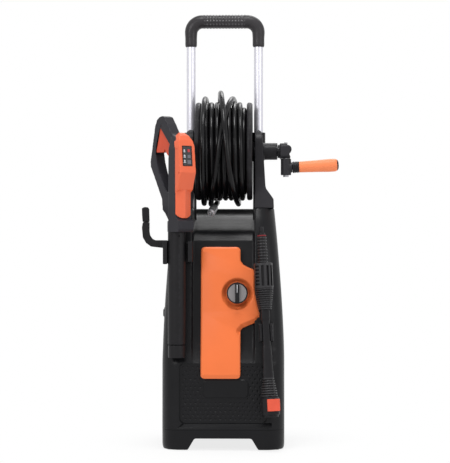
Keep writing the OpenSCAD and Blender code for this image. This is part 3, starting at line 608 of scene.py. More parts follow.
make_camera()
make_world()
make_floor()
for settings in (
        ("key", (-1.7, -2.8, 1.7), 0.5, 1.2, 30), ("fill", (2.4, -2.0, 1.2), 0.5, 1.5, 16),
        ("top", (0.0, -0.8, 2.8), 0.5, 1.0, 35), ("back", (0.3, 1.4, 2.4), 0.6, 1.2, 14.5)):
    lamp(*settings)
bpy.context.scene.view_settings.view_transform = "Standard"


# ---- hose

HOSE_D = 12.0
WIND_R = 105.0
WIND_TURNS = 7
WIND_PITCH = 12.7
START_X = WIND_PITCH * WIND_TURNS / 2
OUTLET_GAP = HOSE_D + 2
# After the wound turns the hose crosses them: its place along the reel and its radius, by turns.
CROSS_X = [(0, -START_X), (0.1, -44.9), (0.5, -44.9), (0.75, -42), (1, -31.5), (1.25, -30),
           (1.5, -10), (1.75, 20), (2, 30), (2.25, 32), (2.5, 8), (2.75, -8), (3, -14),
           (3.25, -17)]
CROSS_OUT = [(0, 105), (0.33, 118), (2.25, 118), (2.42, 131), (2.8, 131), (3, 118),
             (3.25, 118)]
LAST_TURN = 3.22
TAIL_BEND, TAIL_SLOPES, TAIL_SWAY = 60.0, (8.0, 25.0), 3.0
TAIL_SIDE = 14
OUTLET_STEPS, TURN_STEPS, BEND_STEPS, END_STEPS = 4, 72, 6, 3
SKIN_SEGMENTS = 6
INNER_TURNS, INNER_BORE, INNER_END = 8, 74.6, 50.6
INNER_ARC, INNER_AROUND = 13, 120


def wind_at(t):
    """The hose's middle after t turns, from the reel's axis."""
    u = t - WIND_TURNS
    x = START_X - WIND_PITCH * t if u <= 0 else smooth_lookup(u, CROSS_X)
    r = WIND_R if u <= 0 else smooth_lookup(u, CROSS_OUT)
    a = math.pi / 2 + 2 * math.pi * t
    return Vector((x, r * math.sin(a), r * math.cos(a)))


def hose_route():
    """Out of the reel's outlet, round the reel, across the turns, and down to the fitting."""
    total = WIND_TURNS + LAST_TURN
    count = int(TURN_STEPS * total)
    route = [Vector((START_X, WIND_R, OUTLET_GAP * (1 - k / OUTLET_STEPS)))
             for k in range(OUTLET_STEPS)]
    route += [wind_at(total * k / count) for k in range(count + 1)]
    end = route[-1]
    low, high = TAIL_SLOPES
    for k in range(1, BEND_STEPS + 1):
        slope = low + (high - low) * k / BEND_STEPS
        s, s0 = math.radians(slope), math.radians(low)
        route.append(end + Vector((-TAIL_SWAY * (slope - low) / (high - low),
                                   -TAIL_BEND * (math.sin(s) - math.sin(s0)),
                                   -TAIL_BEND * (math.cos(s0) - math.cos(s)))))
    side, fall = math.radians(TAIL_SIDE), math.radians(high)
    away = Vector((-math.sin(side) * math.cos(fall), -math.cos(side) * math.cos(fall),
                   -math.sin(fall)))
    last = route[-1]
    route += [last + away * HOSE_D * k / END_STEPS for k in range(1, END_STEPS + 1)]
    return [place(p.x, p.y, p.z + AXIS_Z) for p in route]


def make_hose():
    """The free cord: the outer layer with its crossing loops and its tail."""
    route = hose_route()
    curve = bpy.data.curves.new("hose", "CURVE")
    curve.dimensions = "3D"
    spline = curve.splines.new("POLY")
    spline.points.add(len(route) - 1)
    for point, where in zip(spline.points, route):
        point.co = (*where, 1)
    curve.bevel_depth = HOSE_D / 2 * MM
    curve.bevel_resolution = SKIN_SEGMENTS
    curve.use_fill_caps = True
    hose = linked("hose", curve)
    curve.materials.append(LOOK["hose"])
    spline.use_smooth = True
    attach(hose, "reel")
    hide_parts("hose_winding")
    length = sum((b - a).length for a, b in zip(route, route[1:]))
    return length


def make_inner_layer():
    """The layer of the hose under the outer one: a row of turns round the drum."""
    profile = [(INNER_BORE, -INNER_END)]
    r, half = WIND_R - HOSE_D, HOSE_D / 2
    for turn in range(INNER_TURNS):
        middle = -WIND_PITCH * (INNER_TURNS - 1) / 2 + WIND_PITCH * turn
        for k in range(INNER_ARC):
            a = math.pi * (k + 0.5) / INNER_ARC
            profile.append((r + half * math.sin(a), middle - half * math.cos(a)))
    profile.append((INNER_BORE, INNER_END))
    matrix = Matrix.Translation(place(0, 0, AXIS_Z)) @ Matrix.Rotation(math.pi / 2, 4, "Y")
    mesh = lathe(matrix, profile, steps=INNER_AROUND)
    new_piece("hose_inner", mesh, "reel", "hose", 40, "hose_core")


hose_length = make_hose()
make_inner_layer()


# ---- housing

BODY_H, SPLIT_Y, TRAY_TOP, FOOT_GAP = 529.0, 12.0, 45.0, 26.0
BACK_Y, WALL = 122.0, 3.0
TUBE_X, TUBE_Y = 76.7, 50.0
WHEEL_Y, WHEEL_Z, WELL_R, WELL_X = 105.0, 86.0, 92.0, 96.0
KNOB_X, KNOB_Z = 31.0, 342.5
FEET_X, FOOT_HALF, FOOT_FRONT, FOOT_BACK, FOOT_DEEP = 104, 18.4, -112.4, -45.6, 6.2
FEET_GAP_LOW, FEET_GAP_HIGH, FEET_END_Y = 78, 62, -40
GRILLE_HALF, GRILLE_LOW, GRILLE_HIGH = 75, 300, 450
INLET_X, INLET_Z = -30, 146
KNOB_HOLE_R, INLET_HOLE_R, TUBE_HOLE_R = 16, 19.2, 12.8
SKIN_STEP, CAVITY_STEP = 6, 12
BEYOND = 400  # past the housing on every side
ABOVE = 800  # past its top
SEAM = 0.25  # half the gap between two covers

# How far the front lies forward of the reel's axis, by height.
FRONT = [(1, 131), (6, 132), (30, 135), (47, 136.8), (60, 136), (188, 133), (204, 127),
         (222, 120), (300, 116), (400, 109), (457, 99), (500, 83), (529, 66)]
# Side outline of the bay between the rails, from behind the reel to the lower front.
BAY = [(92, 529), (78, 515), (56, 506), (20, 497), (-25, 488), (-62, 476), (-79, 457),
       (-95, 400), (-103, 300), (-108, 250), (-114, 225), (-124, 203), (-135, 184)]
BAY_CREASE = (-79, 457)
BAY_HALF, BAY_LOW, BAY_STEP = 68.5, 184, 4
FLANK, FLANK_FROM, FLANK_LEAN, FLANK_BEND = 134, 200, 22, 1.5
FOOT_DRAFT = [(1, 2.4), (6, 0.7), (12, 0)]
FRONT_CORNER, BACK_CORNER = 40, 26

# The dimpled panel in the lower front and the sloping ledge under it.
FIELD = (-95.0, 96.0, 60.0, 190.0)
FIELD_R = 12.0
FIELD_Y = -131.0
FIELD_CUT = 3.8
LEDGE_LOW, LEDGE_HIGH, LEDGE_Y, LEDGE_SLOPE = 47.4, 60.4, -136.9, 0.6
LEDGE_LEFT, LEDGE_CORNER, LEDGE_RIGHT = -101, -87, 106


def half_width(z):
    if z <= FLANK_FROM:
        return FLANK - smooth_lookup(z, FOOT_DRAFT)
    return FLANK - FLANK_LEAN * ((z - FLANK_FROM) / (BODY_H - FLANK_FROM)) ** FLANK_BEND


def plan(z, inset, steps):
    """The housing's outline at a height, with a number of steps round each corner."""
    hw, yf, yb = half_width(z) - inset, inset - smooth_lookup(z, FRONT), BACK_Y - inset
    rf, rb = FRONT_CORNER - inset, BACK_CORNER - inset
    return [place(x, y, z) for cx, cy, r, start in (
        (hw - rf, yf + rf, rf, -90), (hw - rb, yb - rb, rb, 0), (rb - hw, yb - rb, rb, 90),
        (rf - hw, yf + rf, rf, 180)) for x, y in arc(cx, cy, r, start, 90, steps)]


def bay_cutter(back):
    """What the bay takes away: smooth above its edge, hard at it; back is the wall's share."""
    crease = BAY.index(BAY_CREASE)
    path = []
    for table in (BAY[:crease + 1], BAY[crease:]):
        by_z = sorted((z, y) for y, z in table)
        zs = levels(by_z[0][0], by_z[-1][0], BAY_STEP)
        path = path[:-1] + [(smooth_lookup(z, by_z) + back, z) for z in reversed(zs)]
    outline = [(BAY[0][0] + back, ABOVE)] + path + [(-BEYOND, BAY_LOW), (-BEYOND, ABOVE)]
    return prism(outline, -BAY_HALF - back, BAY_HALF + back, "x")


def box(x0, x1, y0, y1, z0, z1):
    return prism([(x0, y0), (x1, y0), (x1, y1), (x0, y1)], z0, z1, "z")


def wheel_wells(grow):
    ring = circle(WHEEL_Y, WHEEL_Z, WELL_R + grow, 72)
    inner = WELL_X - grow
    return prism(ring, -300, -inner, "x"), prism(ring, inner, 300, "x")


def under_tray(grow):
    """The space between the front feet and behind them."""
    top = FOOT_GAP + grow
    gap = prism([(-FEET_GAP_LOW, -1), (-FEET_GAP_HIGH, top), (FEET_GAP_HIGH, top),
                 (FEET_GAP_LOW, -1)], -BEYOND, BEYOND)
    return gap, box(-BEYOND, BEYOND, FEET_END_Y, BEYOND, -1, top)


def housing_mesh():
    """The whole outside of the housing as one rounded solid, with pockets for the feet."""
    mesh = outward(loft([plan(z, 0, 14) for z in levels(1, BODY_H, SKIN_STEP)]))
    pockets = [box(x - FOOT_HALF, x + FOOT_HALF, FOOT_FRONT, FOOT_BACK, -5, FOOT_DEEP)
               for x in (-FEET_X, FEET_X)]
    mesh = cut(mesh, bay_cutter(0), *wheel_wells(0), *under_tray(0), *pockets)
    return soften(mesh, 1.9, 6)


def cavity_mesh():
    """The hollow inside the covers and the tray."""
    mesh = outward(loft([plan(z, WALL, 6)
                         for z in levels(FOOT_GAP + WALL, BODY_H - WALL, CAVITY_STEP)]))
    behind_field = box(-103, 104, -BEYOND, -125.5, 50, 198)
    return cut(mesh, bay_cutter(WALL), *wheel_wells(WALL), *under_tray(WALL), behind_field)


def make_covers():
    """The two covers and the tray, cut out of one shell."""
    whole = cut(housing_mesh(), cavity_mesh())
    field = prism(rounded_rect(*FIELD, FIELD_R), -BEYOND, FIELD_Y + FIELD_CUT)
    slope = [(LEDGE_LEFT, LEDGE_LOW), (LEDGE_RIGHT, LEDGE_LOW), (LEDGE_RIGHT, LEDGE_HIGH),
             (LEDGE_CORNER, LEDGE_HIGH)]
    ledge = outward(loft([[place(x, -BEYOND, z) for x, z in slope],
                          [place(x, LEDGE_Y + (z - LEDGE_LOW) * LEDGE_SLOPE, z)
                           for x, z in slope]]))
    knob_hole = prism(circle(KNOB_X, KNOB_Z, KNOB_HOLE_R), -BEYOND, -80)
    grille = box(-GRILLE_HALF, GRILLE_HALF, 100, BEYOND, GRILLE_LOW, GRILLE_HIGH)
    inlet = prism(circle(INLET_X, INLET_Z, INLET_HOLE_R), 100, BEYOND)
    tubes = [prism(circle(x, TUBE_Y, TUBE_HOLE_R), 300, 900, "z") for x in (-TUBE_X, TUBE_X)]
    low, high = TRAY_TOP - SEAM, TRAY_TOP + SEAM
    for node, y0, y1, z0, z1, holes in (
            ("front_cover", -BEYOND, SPLIT_Y - SEAM, high, 900, [field, ledge, knob_hole]),
            ("rear_cover", SPLIT_Y + SEAM, BEYOND, high, 900, [grille, inlet] + tubes),
            ("base_tray", -BEYOND, BEYOND, -10, low, [])):
        mesh = cut(whole.copy(), box(-BEYOND, BEYOND, y0, y1, z0, z1), operation="INTERSECT")
        mesh = thin(cut(mesh, *holes), 0.6)
        new_piece(node + "_shell", mesh, "housing", "housing", 32, node)


make_covers()


# ---- lower panel

DIMPLE_STEP, DIMPLE_ROW, DIMPLE_R, DIMPLE_DEEP = 10.9, 8.7, 2.3, 1.3
PAD = (-44.0, 56.0, 114.0, 155.0)
PAD_R, PAD_RISE, PAD_EDGE = 11.0, 1.6, 2.0
PAD_MARGIN = 1.5  # free of dimples, round the pad
FIELD_MARGIN = 3  # free of dimples, along the panel's edge
FIELD_GRID, FIELD_THICK, FIELD_PROUD = 0.62, 1.6, 0.25


def past_core(x, z, box, radius):
    """How far a point lies past the straight core of a rounded rectangle, on each axis."""
    x0, x1, z0, z1 = box
    return (max(abs(x - (x0 + x1) / 2) - (x1 - x0) / 2 + radius, 0),
            max(abs(z - (z0 + z1) / 2) - (z1 - z0) / 2 + radius, 0))


def pad_rise(x, z):
    """Height of the smooth raised pad, from 0 to 1, and the distance to its edge."""
    gap = math.hypot(*past_core(x, z, PAD, PAD_R)) - PAD_R
    return min(1.0, max(0.0, -gap / PAD_EDGE)), gap


def field_height(x, z):
    """How far the panel lies in front of its plane at a point."""
    rise, gap = pad_rise(x, z)
    if gap < PAD_MARGIN:
        return PAD_RISE * rise * rise * (3 - 2 * rise)
    row = round((z - FIELD[2]) / DIMPLE_ROW)
    shift = 0.5 * (row % 2)
    column = round(x / DIMPLE_STEP - shift) + shift
    cx, cz = column * DIMPLE_STEP, FIELD[2] + row * DIMPLE_ROW
    edge = min(cx - FIELD[0], FIELD[1] - cx, cz - FIELD[2], FIELD[3] - cz)
    if pad_rise(cx, cz)[1] < DIMPLE_R + PAD_MARGIN or edge < DIMPLE_R + FIELD_MARGIN:
        return 0.0
    away = math.hypot(x - cx, z - cz) / DIMPLE_R
    return -DIMPLE_DEEP * (1 - away ** 3) if away < 1 else 0.0


def make_field():
    """The panel in the lower front: staggered dimples round a smooth raised pad."""
    x0, x1, z0, z1 = FIELD
    xs, zs = levels(x0, x1, FIELD_GRID), levels(z0, z1, FIELD_GRID)
    verts = []
    for z in zs:
        for x in xs:
            px, pz = x, z
            qx, qz = past_core(x, z, FIELD, FIELD_R)
            reach = math.hypot(qx, qz)
            if qx and qz and reach > FIELD_R:
                slip = 1 - FIELD_R / reach
                px -= math.copysign(qx * slip, x - (x0 + x1) / 2)
                pz -= math.copysign(qz * slip, z - (z0 + z1) / 2)
            verts.append(place(px, FIELD_Y - FIELD_PROUD - field_height(px, pz), pz))
    mesh = mesh_from(verts, strip_faces(len(zs), len(xs), False))
    mesh = applied(mesh, ("SOLIDIFY", {"thickness": FIELD_THICK * MM, "offset": -1.0}))
    new_piece("lower_panel", mesh, "housing", "housing", 30)


make_field()


# ---- orange panel

# The panel's face and back, as (height, depth).
PANEL_FACE = [(152, -142.2), (160, -143.0), (300, -118.5), (400, -110), (449, -104.5)]
PANEL_BACK = [(152, -131), (190, -128), (225, -104), (300, -100), (400, -92), (449, -88)]
PANEL_BLOCK, PANEL_R = (-48.4, 37.9, 157, 443), 10
WING = [(30, 436), (37, 430), (37.5, 414), (44, 404), (58, 397), (66, 394), (69.5, 385),
        (69, 350), (76, 313), (79.4, 299), (79.4, 286), (76, 280), (44, 267), (38.5, 262),
        (36, 250), (30, 240)]
LOW_EDGE = [(79, 284), (76, 280), (44, 267), (38, 260)]
# Each bevel's reach from its edge and its slope.
RIM_BEVEL, WING_BEVEL, FOOT_BEVEL = (3.0, 0.9), (9.5, 1.05), (9.0, 0.6)
MOST_PUSH, FACE_REACH = 10.5, 11
SEAT = [(0, -31), (38.6, -31), (35.6, -24), (27, -12.6), (27, -10.4), (0, -10.4), (0, -31)]
SEAT_Y = -92
NOTCH_HALF, NOTCH_TOP, NOTCH_TIP = 5, 30, 36.5
POINTER_FRONT, POINTER_BACK = -133.25, -132.6


def to_segments(x, z, line):
    """Distance from points to a line of segments."""
    best = np.full(x.shape, np.inf)
    for (ax, az), (bx, bz) in zip(line, line[1:]):
        dx, dz = bx - ax, bz - az
        t = np.clip(((x - ax) * dx + (z - az) * dz) / (dx * dx + dz * dz), 0, 1)
        best = np.minimum(best, np.hypot(x - ax - t * dx, z - az - t * dz))
    return best


def inside(x, z, outline):
    """Which points lie inside an outline."""
    result = np.zeros(x.shape, bool)
    for (ax, az), (bx, bz) in zip(outline, outline[1:] + outline[:1]):
        if az != bz:
            result ^= ((az > z) != (bz > z)) & (x < (bx - ax) * (z - az) / (bz - az) + ax)
    return result


def bevel_panel(mesh):
    """Pushes the face back along the outline: a narrow bevel, wide on the lower edges."""
    points = np.empty(len(mesh.vertices) * 3)
    mesh.vertices.foreach_get("co", points)
    points = points.reshape(-1, 3)
    x, y, z = points[:, 0] / MM - MID_X, points[:, 1] / MM - MID_Y, points[:, 2] / MM
    x0, x1, z0, z1 = PANEL_BLOCK
    qx = np.abs(x - (x0 + x1) / 2) - (x1 - x0) / 2 + PANEL_R
    qz = np.abs(z - (z0 + z1) / 2) - (z1 - z0) / 2 + PANEL_R
    in_block = PANEL_R - np.hypot(np.maximum(qx, 0), np.maximum(qz, 0)) \
        - np.minimum(np.maximum(qx, qz), 0)
    in_wing = to_segments(x, z, WING) * np.where(inside(x, z, WING), 1, -1)
    push = 0
    for (reach, slope), depth in ((RIM_BEVEL, np.maximum(in_block, in_wing)),
                                  (WING_BEVEL, to_segments(x, z, LOW_EDGE)),
                                  (FOOT_BEVEL, z - z0)):
        push = np.maximum(push, np.maximum(0, reach - depth) * slope)
    face = np.interp(z, *zip(*PANEL_FACE))
    points[:, 1] = (np.where(y < face + FACE_REACH,
                             np.maximum(y, face + np.minimum(push, MOST_PUSH)), y)
                    + MID_Y) * MM
    mesh.vertices.foreach_set("co", points.ravel())
    mesh.update()
    return mesh


def make_panel():
    """The solid panel with its sunk seat for the knob, and the knob's pale pointer."""
    mesh = cut(prism(rounded_rect(*PANEL_BLOCK, PANEL_R), -170, -60),
               prism(WING, -170.5, -59.5), operation="UNION")
    side = [(y, z) for z, y in PANEL_FACE + PANEL_BACK[::-1]]
    mesh = cut(mesh, prism(side, -90, 110, "x"), operation="INTERSECT")
    seat = revolve(SEAT, turned((KNOB_X, SEAT_Y, KNOB_Z), (-90, "X")), 96)
    notch = prism([(KNOB_X - NOTCH_HALF, KNOB_Z - NOTCH_TOP), (KNOB_X, KNOB_Z - NOTCH_TIP),
                   (KNOB_X + NOTCH_HALF, KNOB_Z - NOTCH_TOP)], -140, -111)
    mesh = cut(mesh, seat, notch)
    mesh = thin(bevel_panel(soften(clean(mesh), 1.1, 4)), 0.7)
    new_piece("panel_form", mesh, "housing", "orange", 30, "switch_panel")
    tip = [(KNOB_X + dx, KNOB_Z + dz)
           for dx, dz in ((-0.9, 18.5), (0.9, 18.5), (0.5, 1), (-0.5, 1))]
    new_piece("knob_pointer", prism(tip, POINTER_FRONT, POINTER_BACK), "knob", "mark")


# ---- handle

BAR_Z, BEND_R = 954.7, 26.0
LEG_GRIP_R, BAR_GRIP_R, GRIP_LOW = 13.4, 15.3, 897.0
GRIP_AROUND, BEND_POINTS = 120, 24
LIP_HIGH, LIP_IN = 4, 1.6  # the grip's feet draw in over this height
BORE_R, BORE_DEEP = LEG_GRIP_R - 3.1, 3
PIP_PITCH, PIP_ROWS, PIP_REACH = 7.1, 12, 46.0
PIP_R, PIP_HIGH, PIP_SUNK = 2.2, 1.15, 0.45


def grip_path():
    """Points of the grip's middle, from the left foot to the right one."""
    corner_z = BAR_Z - BEND_R
    left = [(-TUBE_X, z) for z in levels(GRIP_LOW, corner_z, 3)[:-1]]
    left += arc(BEND_R - TUBE_X, corner_z, BEND_R, 180, -90, BEND_POINTS)
    bar_line = [(x, BAR_Z) for x in levels(BEND_R - TUBE_X, TUBE_X - BEND_R, 1)[1:-1]]
    return left + bar_line + [(-x, z) for x, z in reversed(left)]


def grip_radius(x, z, a):
    """The grip's radius at a point of its middle, in a direction: the bar has small pips."""
    rise = smooth_lookup(z, [(GRIP_LOW + 20, 0), (BAR_Z - 8, 1)])
    r = LEG_GRIP_R + (BAR_GRIP_R - LEG_GRIP_R) * rise
    if z < GRIP_LOW + LIP_HIGH:
        r -= LIP_IN * (1 - (z - GRIP_LOW) / LIP_HIGH) ** 2
    if abs(x) < PIP_REACH and z > BAR_Z - 1:
        row, column = a / math.tau * PIP_ROWS, x / PIP_PITCH - 0.5
        gap = math.hypot((column - round(column)) * PIP_PITCH,
                         (row - round(row)) * math.tau / PIP_ROWS * BAR_GRIP_R)
        r += PIP_HIGH * max(0.0, 1 - (gap / PIP_R) ** 2) ** 0.5 - PIP_SUNK
    return r


def grip_ring(x, z, outer, radius):
    """Points round the grip's middle; outer points away from the grip's bend."""
    forward = Vector((0, -1, 0))
    return [place(x, TUBE_Y, z) + (forward * math.cos(a) + outer * math.sin(a)) * radius(a) * MM
            for a in (math.tau * k / GRIP_AROUND for k in range(GRIP_AROUND))]


def make_grip():
    """The soft grip: plain round the bends, with rows of small pips along the bar."""
    path = grip_path()
    rings = []
    for i, (x, z) in enumerate(path):
        before, after = path[max(0, i - 1)], path[min(len(path) - 1, i + 1)]
        along = Vector((after[0] - before[0], 0, after[1] - before[1])).normalized()
        rings.append(grip_ring(x, z, Vector((0, 1, 0)).cross(along),
                               lambda a: grip_radius(x, z, a)))
    bores = [[grip_ring(x, z + up, Vector((-out, 0, 0)), lambda a: BORE_R)
              for up in (BORE_DEEP, 0)] for (x, z), out in ((path[0], 1), (path[-1], -1))]
    mesh = outward(loft(bores[0] + rings + bores[1][::-1]))
    cover = new_piece("grip_cover", mesh, "handle", "grip", 50, "handle_grip")
    # Painted highlight: the pip domes take a paler, glossier look, so they show as small glints
    # along the bar.
    paint(cover, "pip_painted_glint", turned((0, TUBE_Y, BAR_Z)),
          lambda x, y, z: abs(x) < PIP_REACH and math.hypot(y, z) > BAR_GRIP_R - 0.1)


def make_crank_grip():
    """The turning grip: a ribbed dark collar, then a swelling handle with a cap."""
    swell = [(30, 12.0), (38, 12.3), (75, 13.4), (98, 14.3), (108, 14.1), (112, 12.9),
             (115, 10.6), (116.6, 7.6), (117, 5.0)]
    collar = [(4.8, 14.5), (11.5, 14.5), (12.8, 16.0)]
    for s in (16.5, 20.0, 23.5):
        collar += [(12.8, s), (12.8, s + 2.1), (11.4, s + 2.3), (11.4, s + 3.3)]
    collar += [(12.8, 27.0), (12.8, 28.0), (11.6, 29.2)]
    body = [(smooth_lookup(z, swell), z) for z in levels(30, 108, 3) + levels(109, 117, 0.8)]
    mesh = lathe(GRIP, collar + body + [(4.8, 117.0)], steps=96)
    piece = new_piece("crank_grip_form", mesh, "grip", "orange_grip", 34, "crank_grip")
    paint(piece, "part", GRIP, lambda x, y, z: z < 29.6 or z > 113.4)


# ---- lance

LANCE_FRONT, LANCE_BACK = 79, 331  # the squarish rod, along the lance
SQUARENESS, LANCE_AROUND, LANCE_DEEPER = 0.42, 48, 1.0
NECK, RELIEF, COLLAR_RIBS = (21, 80), (327, 368.6), (134, 180.5)
RIB_BEVEL = 0.5
COLLAR_BORE = 12.2
STEP_PITCH = 7.7


def ribbed(low, high, pitch, thick, core, rim):
    """Outline of a core with flat ribs; core and rim give the radius at a height."""
    line = [(0.0, low), (core(low), low)]
    s = low + (pitch - thick) / 2
    while s + thick < high:
        line += [(core(s), s), (rim(s) - RIB_BEVEL, s), (rim(s), s + RIB_BEVEL),
                 (rim(s + thick), s + thick - RIB_BEVEL),
                 (rim(s + thick) - RIB_BEVEL, s + thick), (core(s + thick), s + thick)]
        s += pitch
    return line + [(core(high), high), (0.0, high)]


def ramp(a, ra, b, rb):
    """A radius that goes from ra at a to rb at b."""
    return lambda s: ra + (rb - ra) * min(1.0, max(0.0, (s - a) / (b - a)))


def make_lance():
    """The shaft: a plug, a ringed neck, a squarish rod with a waist and a bend relief."""
    plug = [(0.0, 0.3), (4.0, 0.3), (5.0, 1.1), (5.0, 9.0), (4.5, 9.6), (4.5, 13.4),
            (7.2, 13.5), (7.4, 14.0), (7.4, 17.0), (8.7, 17.6), (8.7, 21.4), (0.0, 21.4)]
    neck = ribbed(*NECK, 6.5, 3.3, ramp(21, 7.8, 80, 8.6), ramp(26, 10.2, 66, 11))
    half = [(79, 8.3), (180, 8.5), (183, 9.6), (200, 9.4), (206, 8.4), (258, 8.4), (263, 9.4),
            (300, 10.6), (327, 11.8), (331, 11.8)]
    rings = []
    for s in [LANCE_FRONT, 120, 178] + levels(181, LANCE_BACK, 3):
        a = smooth_lookup(s, half)
        rings.append([own(LANCE, math.copysign(abs(c) ** SQUARENESS, c) * a,
                          math.copysign(abs(d) ** SQUARENESS, d) * (a + LANCE_DEEPER), s)
                      for c, d in circle(0, 0, 1, LANCE_AROUND)])
    relief = ribbed(*RELIEF, 5.3, 2.7, ramp(327, 10.0, 368, 13.4), ramp(329, 12.6, 366, 18.4))
    mesh = remade(lathe(LANCE, plug, neck, relief), outward(loft(rings)))
    piece = new_piece("lance_form", mesh, "lance", "part", 38, "lance_shaft")
    rim = ramp(329, 12.0, 366, 17.2)
    # Painted highlight: the neck's rings and the relief's ribs take the paler look, so the
    # grooves between them read as painted shade.
    paint(piece, "raised_painted_highlight", LANCE, lambda x, y, s: (22 < s < 78 and math.hypot(x, y) > 9.4)
          or (s > 328 and math.hypot(x, y) > rim(s)))


def make_collar():
    """The turning collar: a grooved barrel with slots and small steps, then thin ribs."""
    barrel = [(COLLAR_BORE, 79.5), (19.4, 79.5), (20.3, 80.4), (20.3, 133.0), (19.4, 134.2),
              (COLLAR_BORE, 134.2)]
    low, high = COLLAR_RIBS
    ribs = ribbed(low, high, 4.7, 2.3, ramp(134, 15.0, 180, 12.9), ramp(136, 20.0, 180, 14.4))
    ribs = [(COLLAR_BORE, low)] + ribs[1:-1] + [(COLLAR_BORE, high)]
    slots = []
    for turn in (0, 180):
        def at(angle):
            return LANCE @ Matrix.Rotation(math.radians(angle + turn), 4, "Z")
        slots += [bar(at(angle), -2.9, 2.9, -24, -16.4, 85, 129.5) for angle in (-5, 27, 59, 91)]
        slots += [bar(at(-43), -5.4, 5.4, -24, -17.2, 85 + STEP_PITCH * k, 89.4 + STEP_PITCH * k)
                  for k in range(6)]
    mesh = remade(cut(lathe(LANCE, barrel), remade(*slots)), lathe(LANCE, ribs))
    piece = new_piece("collar_form", mesh, "collar", "part", 38, "lance_collar")
    rim = ramp(136, 18.9, 180, 13.6)
    # Painted highlight: the barrel's outside and the ribs' rims take the paler look, so slots and
    # grooves read as painted shade.
    paint(piece, "raised_painted_highlight", LANCE,
          lambda x, y, s: math.hypot(x, y) > (19.2 if s < low else rim(s)))


# ---- pieces with a form of their own

make_grip()
make_crank_grip()
make_lance()
make_collar()
make_panel()


# ---- moulded parts

# Each node's body, look, and the voxel and smoothing that round its edges.
ROUNDED = {
    "left_arm": ("housing", "arm", 1.2, 6), "right_arm": ("housing", "arm", 1.2, 6),
    "gun_holder": ("housing", "part", 1.1, 6), "gun_cup": ("housing", "part", 1.0, 4),
    "lance_clips": ("housing", "part", 1.0, 5), "guide_tubes": ("housing", "part", 1.1, 4),
    "cord_hook_tip": ("hook_tip", "part", 0.9, 6), "crank_arm": ("reel", "arm", 0.9, 6),
    "crank_knuckle": ("knuckle", "arm", 0.9, 4), "gun_body": ("gun", "gun", 1.0, 8),
    "gun_panel": ("gun", "orange_gun", 0.9, 5), "gun_trigger": ("trigger", "trigger", 0.7, 6),
    "trigger_lock": ("catch", "gun", 0.6, 3), "gun_barrel": ("gun", "part", 1.0, 3),
    "nozzle_head": ("nozzle", "part", 0.8, 4), "power_knob": ("knob", "part", 0.5, 2),
}
# Nodes that keep their own mesh, by look.
DRESSED = {
    "part": ("vent_grille", "switch_body", "cord_gland", "cooling_fan", "control_box",
             "left_wheel", "right_wheel", "reel_drum", "left_flange", "right_flange"),
    "steel": ("motor_can", "wheel_axle", "housing_screws", "switch_shaft", "reel_axle",
              "crank_pin"),
    "plated": ("hose_outlet", "hose_sleeve", "hose_fitting"),
    "brass": ("unloader_valve", "water_inlet", "swivel_housing"),
    "pump": ("pump_case", "pump_head"), "tyre": ("left_tyre", "right_tyre"),
    "orange": ("left_lock_button", "right_lock_button"), "foot": ("rubber_feet",),
    "iron": ("motor_rotor",), "hose": ("supply_hose",), "gray": ("knob_inlays",),
    "tube": ("handle_tube",), "screen": ("gun_window",),
}
# Screw holes, the crank arm's hollows and the barrel's pit.
HOLES = {
    "gun_panel": [rod(GUN, (u, -24, z), (u, -18.6, z), 1.6)
                  for u, z in ((26, 655), (35.4, 603), (28.6, 556.5))],
    "gun_body": [rod(WORLD, (-101.7, -164, 486.5), (-101.7, -157.4, 486.5), 1.8)],
    "crank_arm": [prism(outline, -80, 40) for outline in (
        circle(154.5, 648.5, 8.6, 40),
        [(151.5, 658)] + arc(140.5, 659, 10, 0, 90, 10) + [(140.5, 690), (170, 690),
                                                         (170, 658)])],
    "gun_barrel": [bar(WORLD, -95.8, -91.8, -164, -155.6, 465.4, 469.6)],
}
ROUNDED_FLAT, ROUNDED_SHARP = 0.8, 35
EDGE_WIDTH, EDGE_ANGLE = 0.35, 50


def moulded_copy(node, body, look, voxel, smoothing):
    """Takes a CAD node's place with the same shape, its edges rounded as moulding leaves them."""
    mesh = soften(clean(remade(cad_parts[node].data)), voxel, smoothing)
    mesh = thin(cut(mesh, *HOLES.get(node, ())), ROUNDED_FLAT)
    return new_piece(node + "_form", mesh, body, look, ROUNDED_SHARP, node)


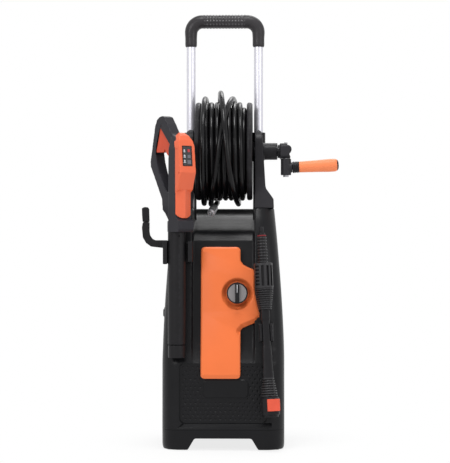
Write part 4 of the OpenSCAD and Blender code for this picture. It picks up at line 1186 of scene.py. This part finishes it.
def dress(node, look):
    """Gives a CAD node its material and a small rounding along its sharp edges."""
    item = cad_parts[node]
    item.data.materials.clear()
    item.data.materials.append(LOOK[look])
    modifier = item.modifiers.new("rounding", "BEVEL")
    modifier.width = EDGE_WIDTH * MM
    modifier.segments = 2
    modifier.limit_method = "ANGLE"
    modifier.angle_limit = math.radians(EDGE_ANGLE)
    modifier.harden_normals = False


FORMS = {node: moulded_copy(node, *how) for node, how in ROUNDED.items()}
for look, nodes in DRESSED.items():
    for node in nodes:
        dress(node, look)
# The nozzle's red tab, and the trigger's pin in the gun's black.
TAB_R = 21.15
paint(FORMS["nozzle_head"], "red", LANCE, lambda x, y, z: -5.8 < x and y < -5.4
      and 373 < z < 401 and math.hypot(x - 1.6, y) > TAB_R)
paint(FORMS["gun_trigger"], "gun", GUN, lambda x, y, z: abs(y) > 10.8)


# ---- details

WINDOW_AT, WINDOW_LEAN = (39.5, 0, 618), -4.55


def make_display():
    """The display's marks, lamp, plates and rim."""
    window = GUN @ Matrix.Translation(Vector(WINDOW_AT) * MM) \
        @ Matrix.Rotation(math.radians(WINDOW_LEAN), 4, "Y")
    marks = []
    for z in (9.5, 21, 32.5):
        marks += [rod(window, (-0.3, -7.6, z + 1.6), (0.15, -7.6, z + 1.6), 2.1),
                  bar(window, -0.3, 0.15, -10.4, -4.8, z - 2.6, z - 0.9)]
    plates = [bar(window, -0.3, 0.1, -0.4, 9.4, 5.0, 13.0),
              bar(window, -0.3, 0.1, 0.6, 8.4, 17.4, 24.4)]
    rim = cut(bar(window, -1.0, 0.45, -12.6, 12.6, 0.4, 43.6),
              bar(window, -2.0, 0.9, -11.4, 11.4, 1.6, 42.4))
    lamp_mesh = bar(window, -0.3, 0.3, 1.2, 7.2, 30.2, 36.6)
    new_piece("display_marks", remade(*marks), "gun", "mark")
    new_piece("display_lamp", lamp_mesh, "gun", "lamp")
    new_piece("display_plate", remade(*plates), "gun", "plate")
    new_piece("display_rim", rim, "gun", "part", 30)


make_display()
new_piece("lance_seal", lathe(LANCE, circle(8.6, 19.5, 1.3, 16)), "lance", "seal", 60)


# ---- the end

bpy.context.view_layer.update()
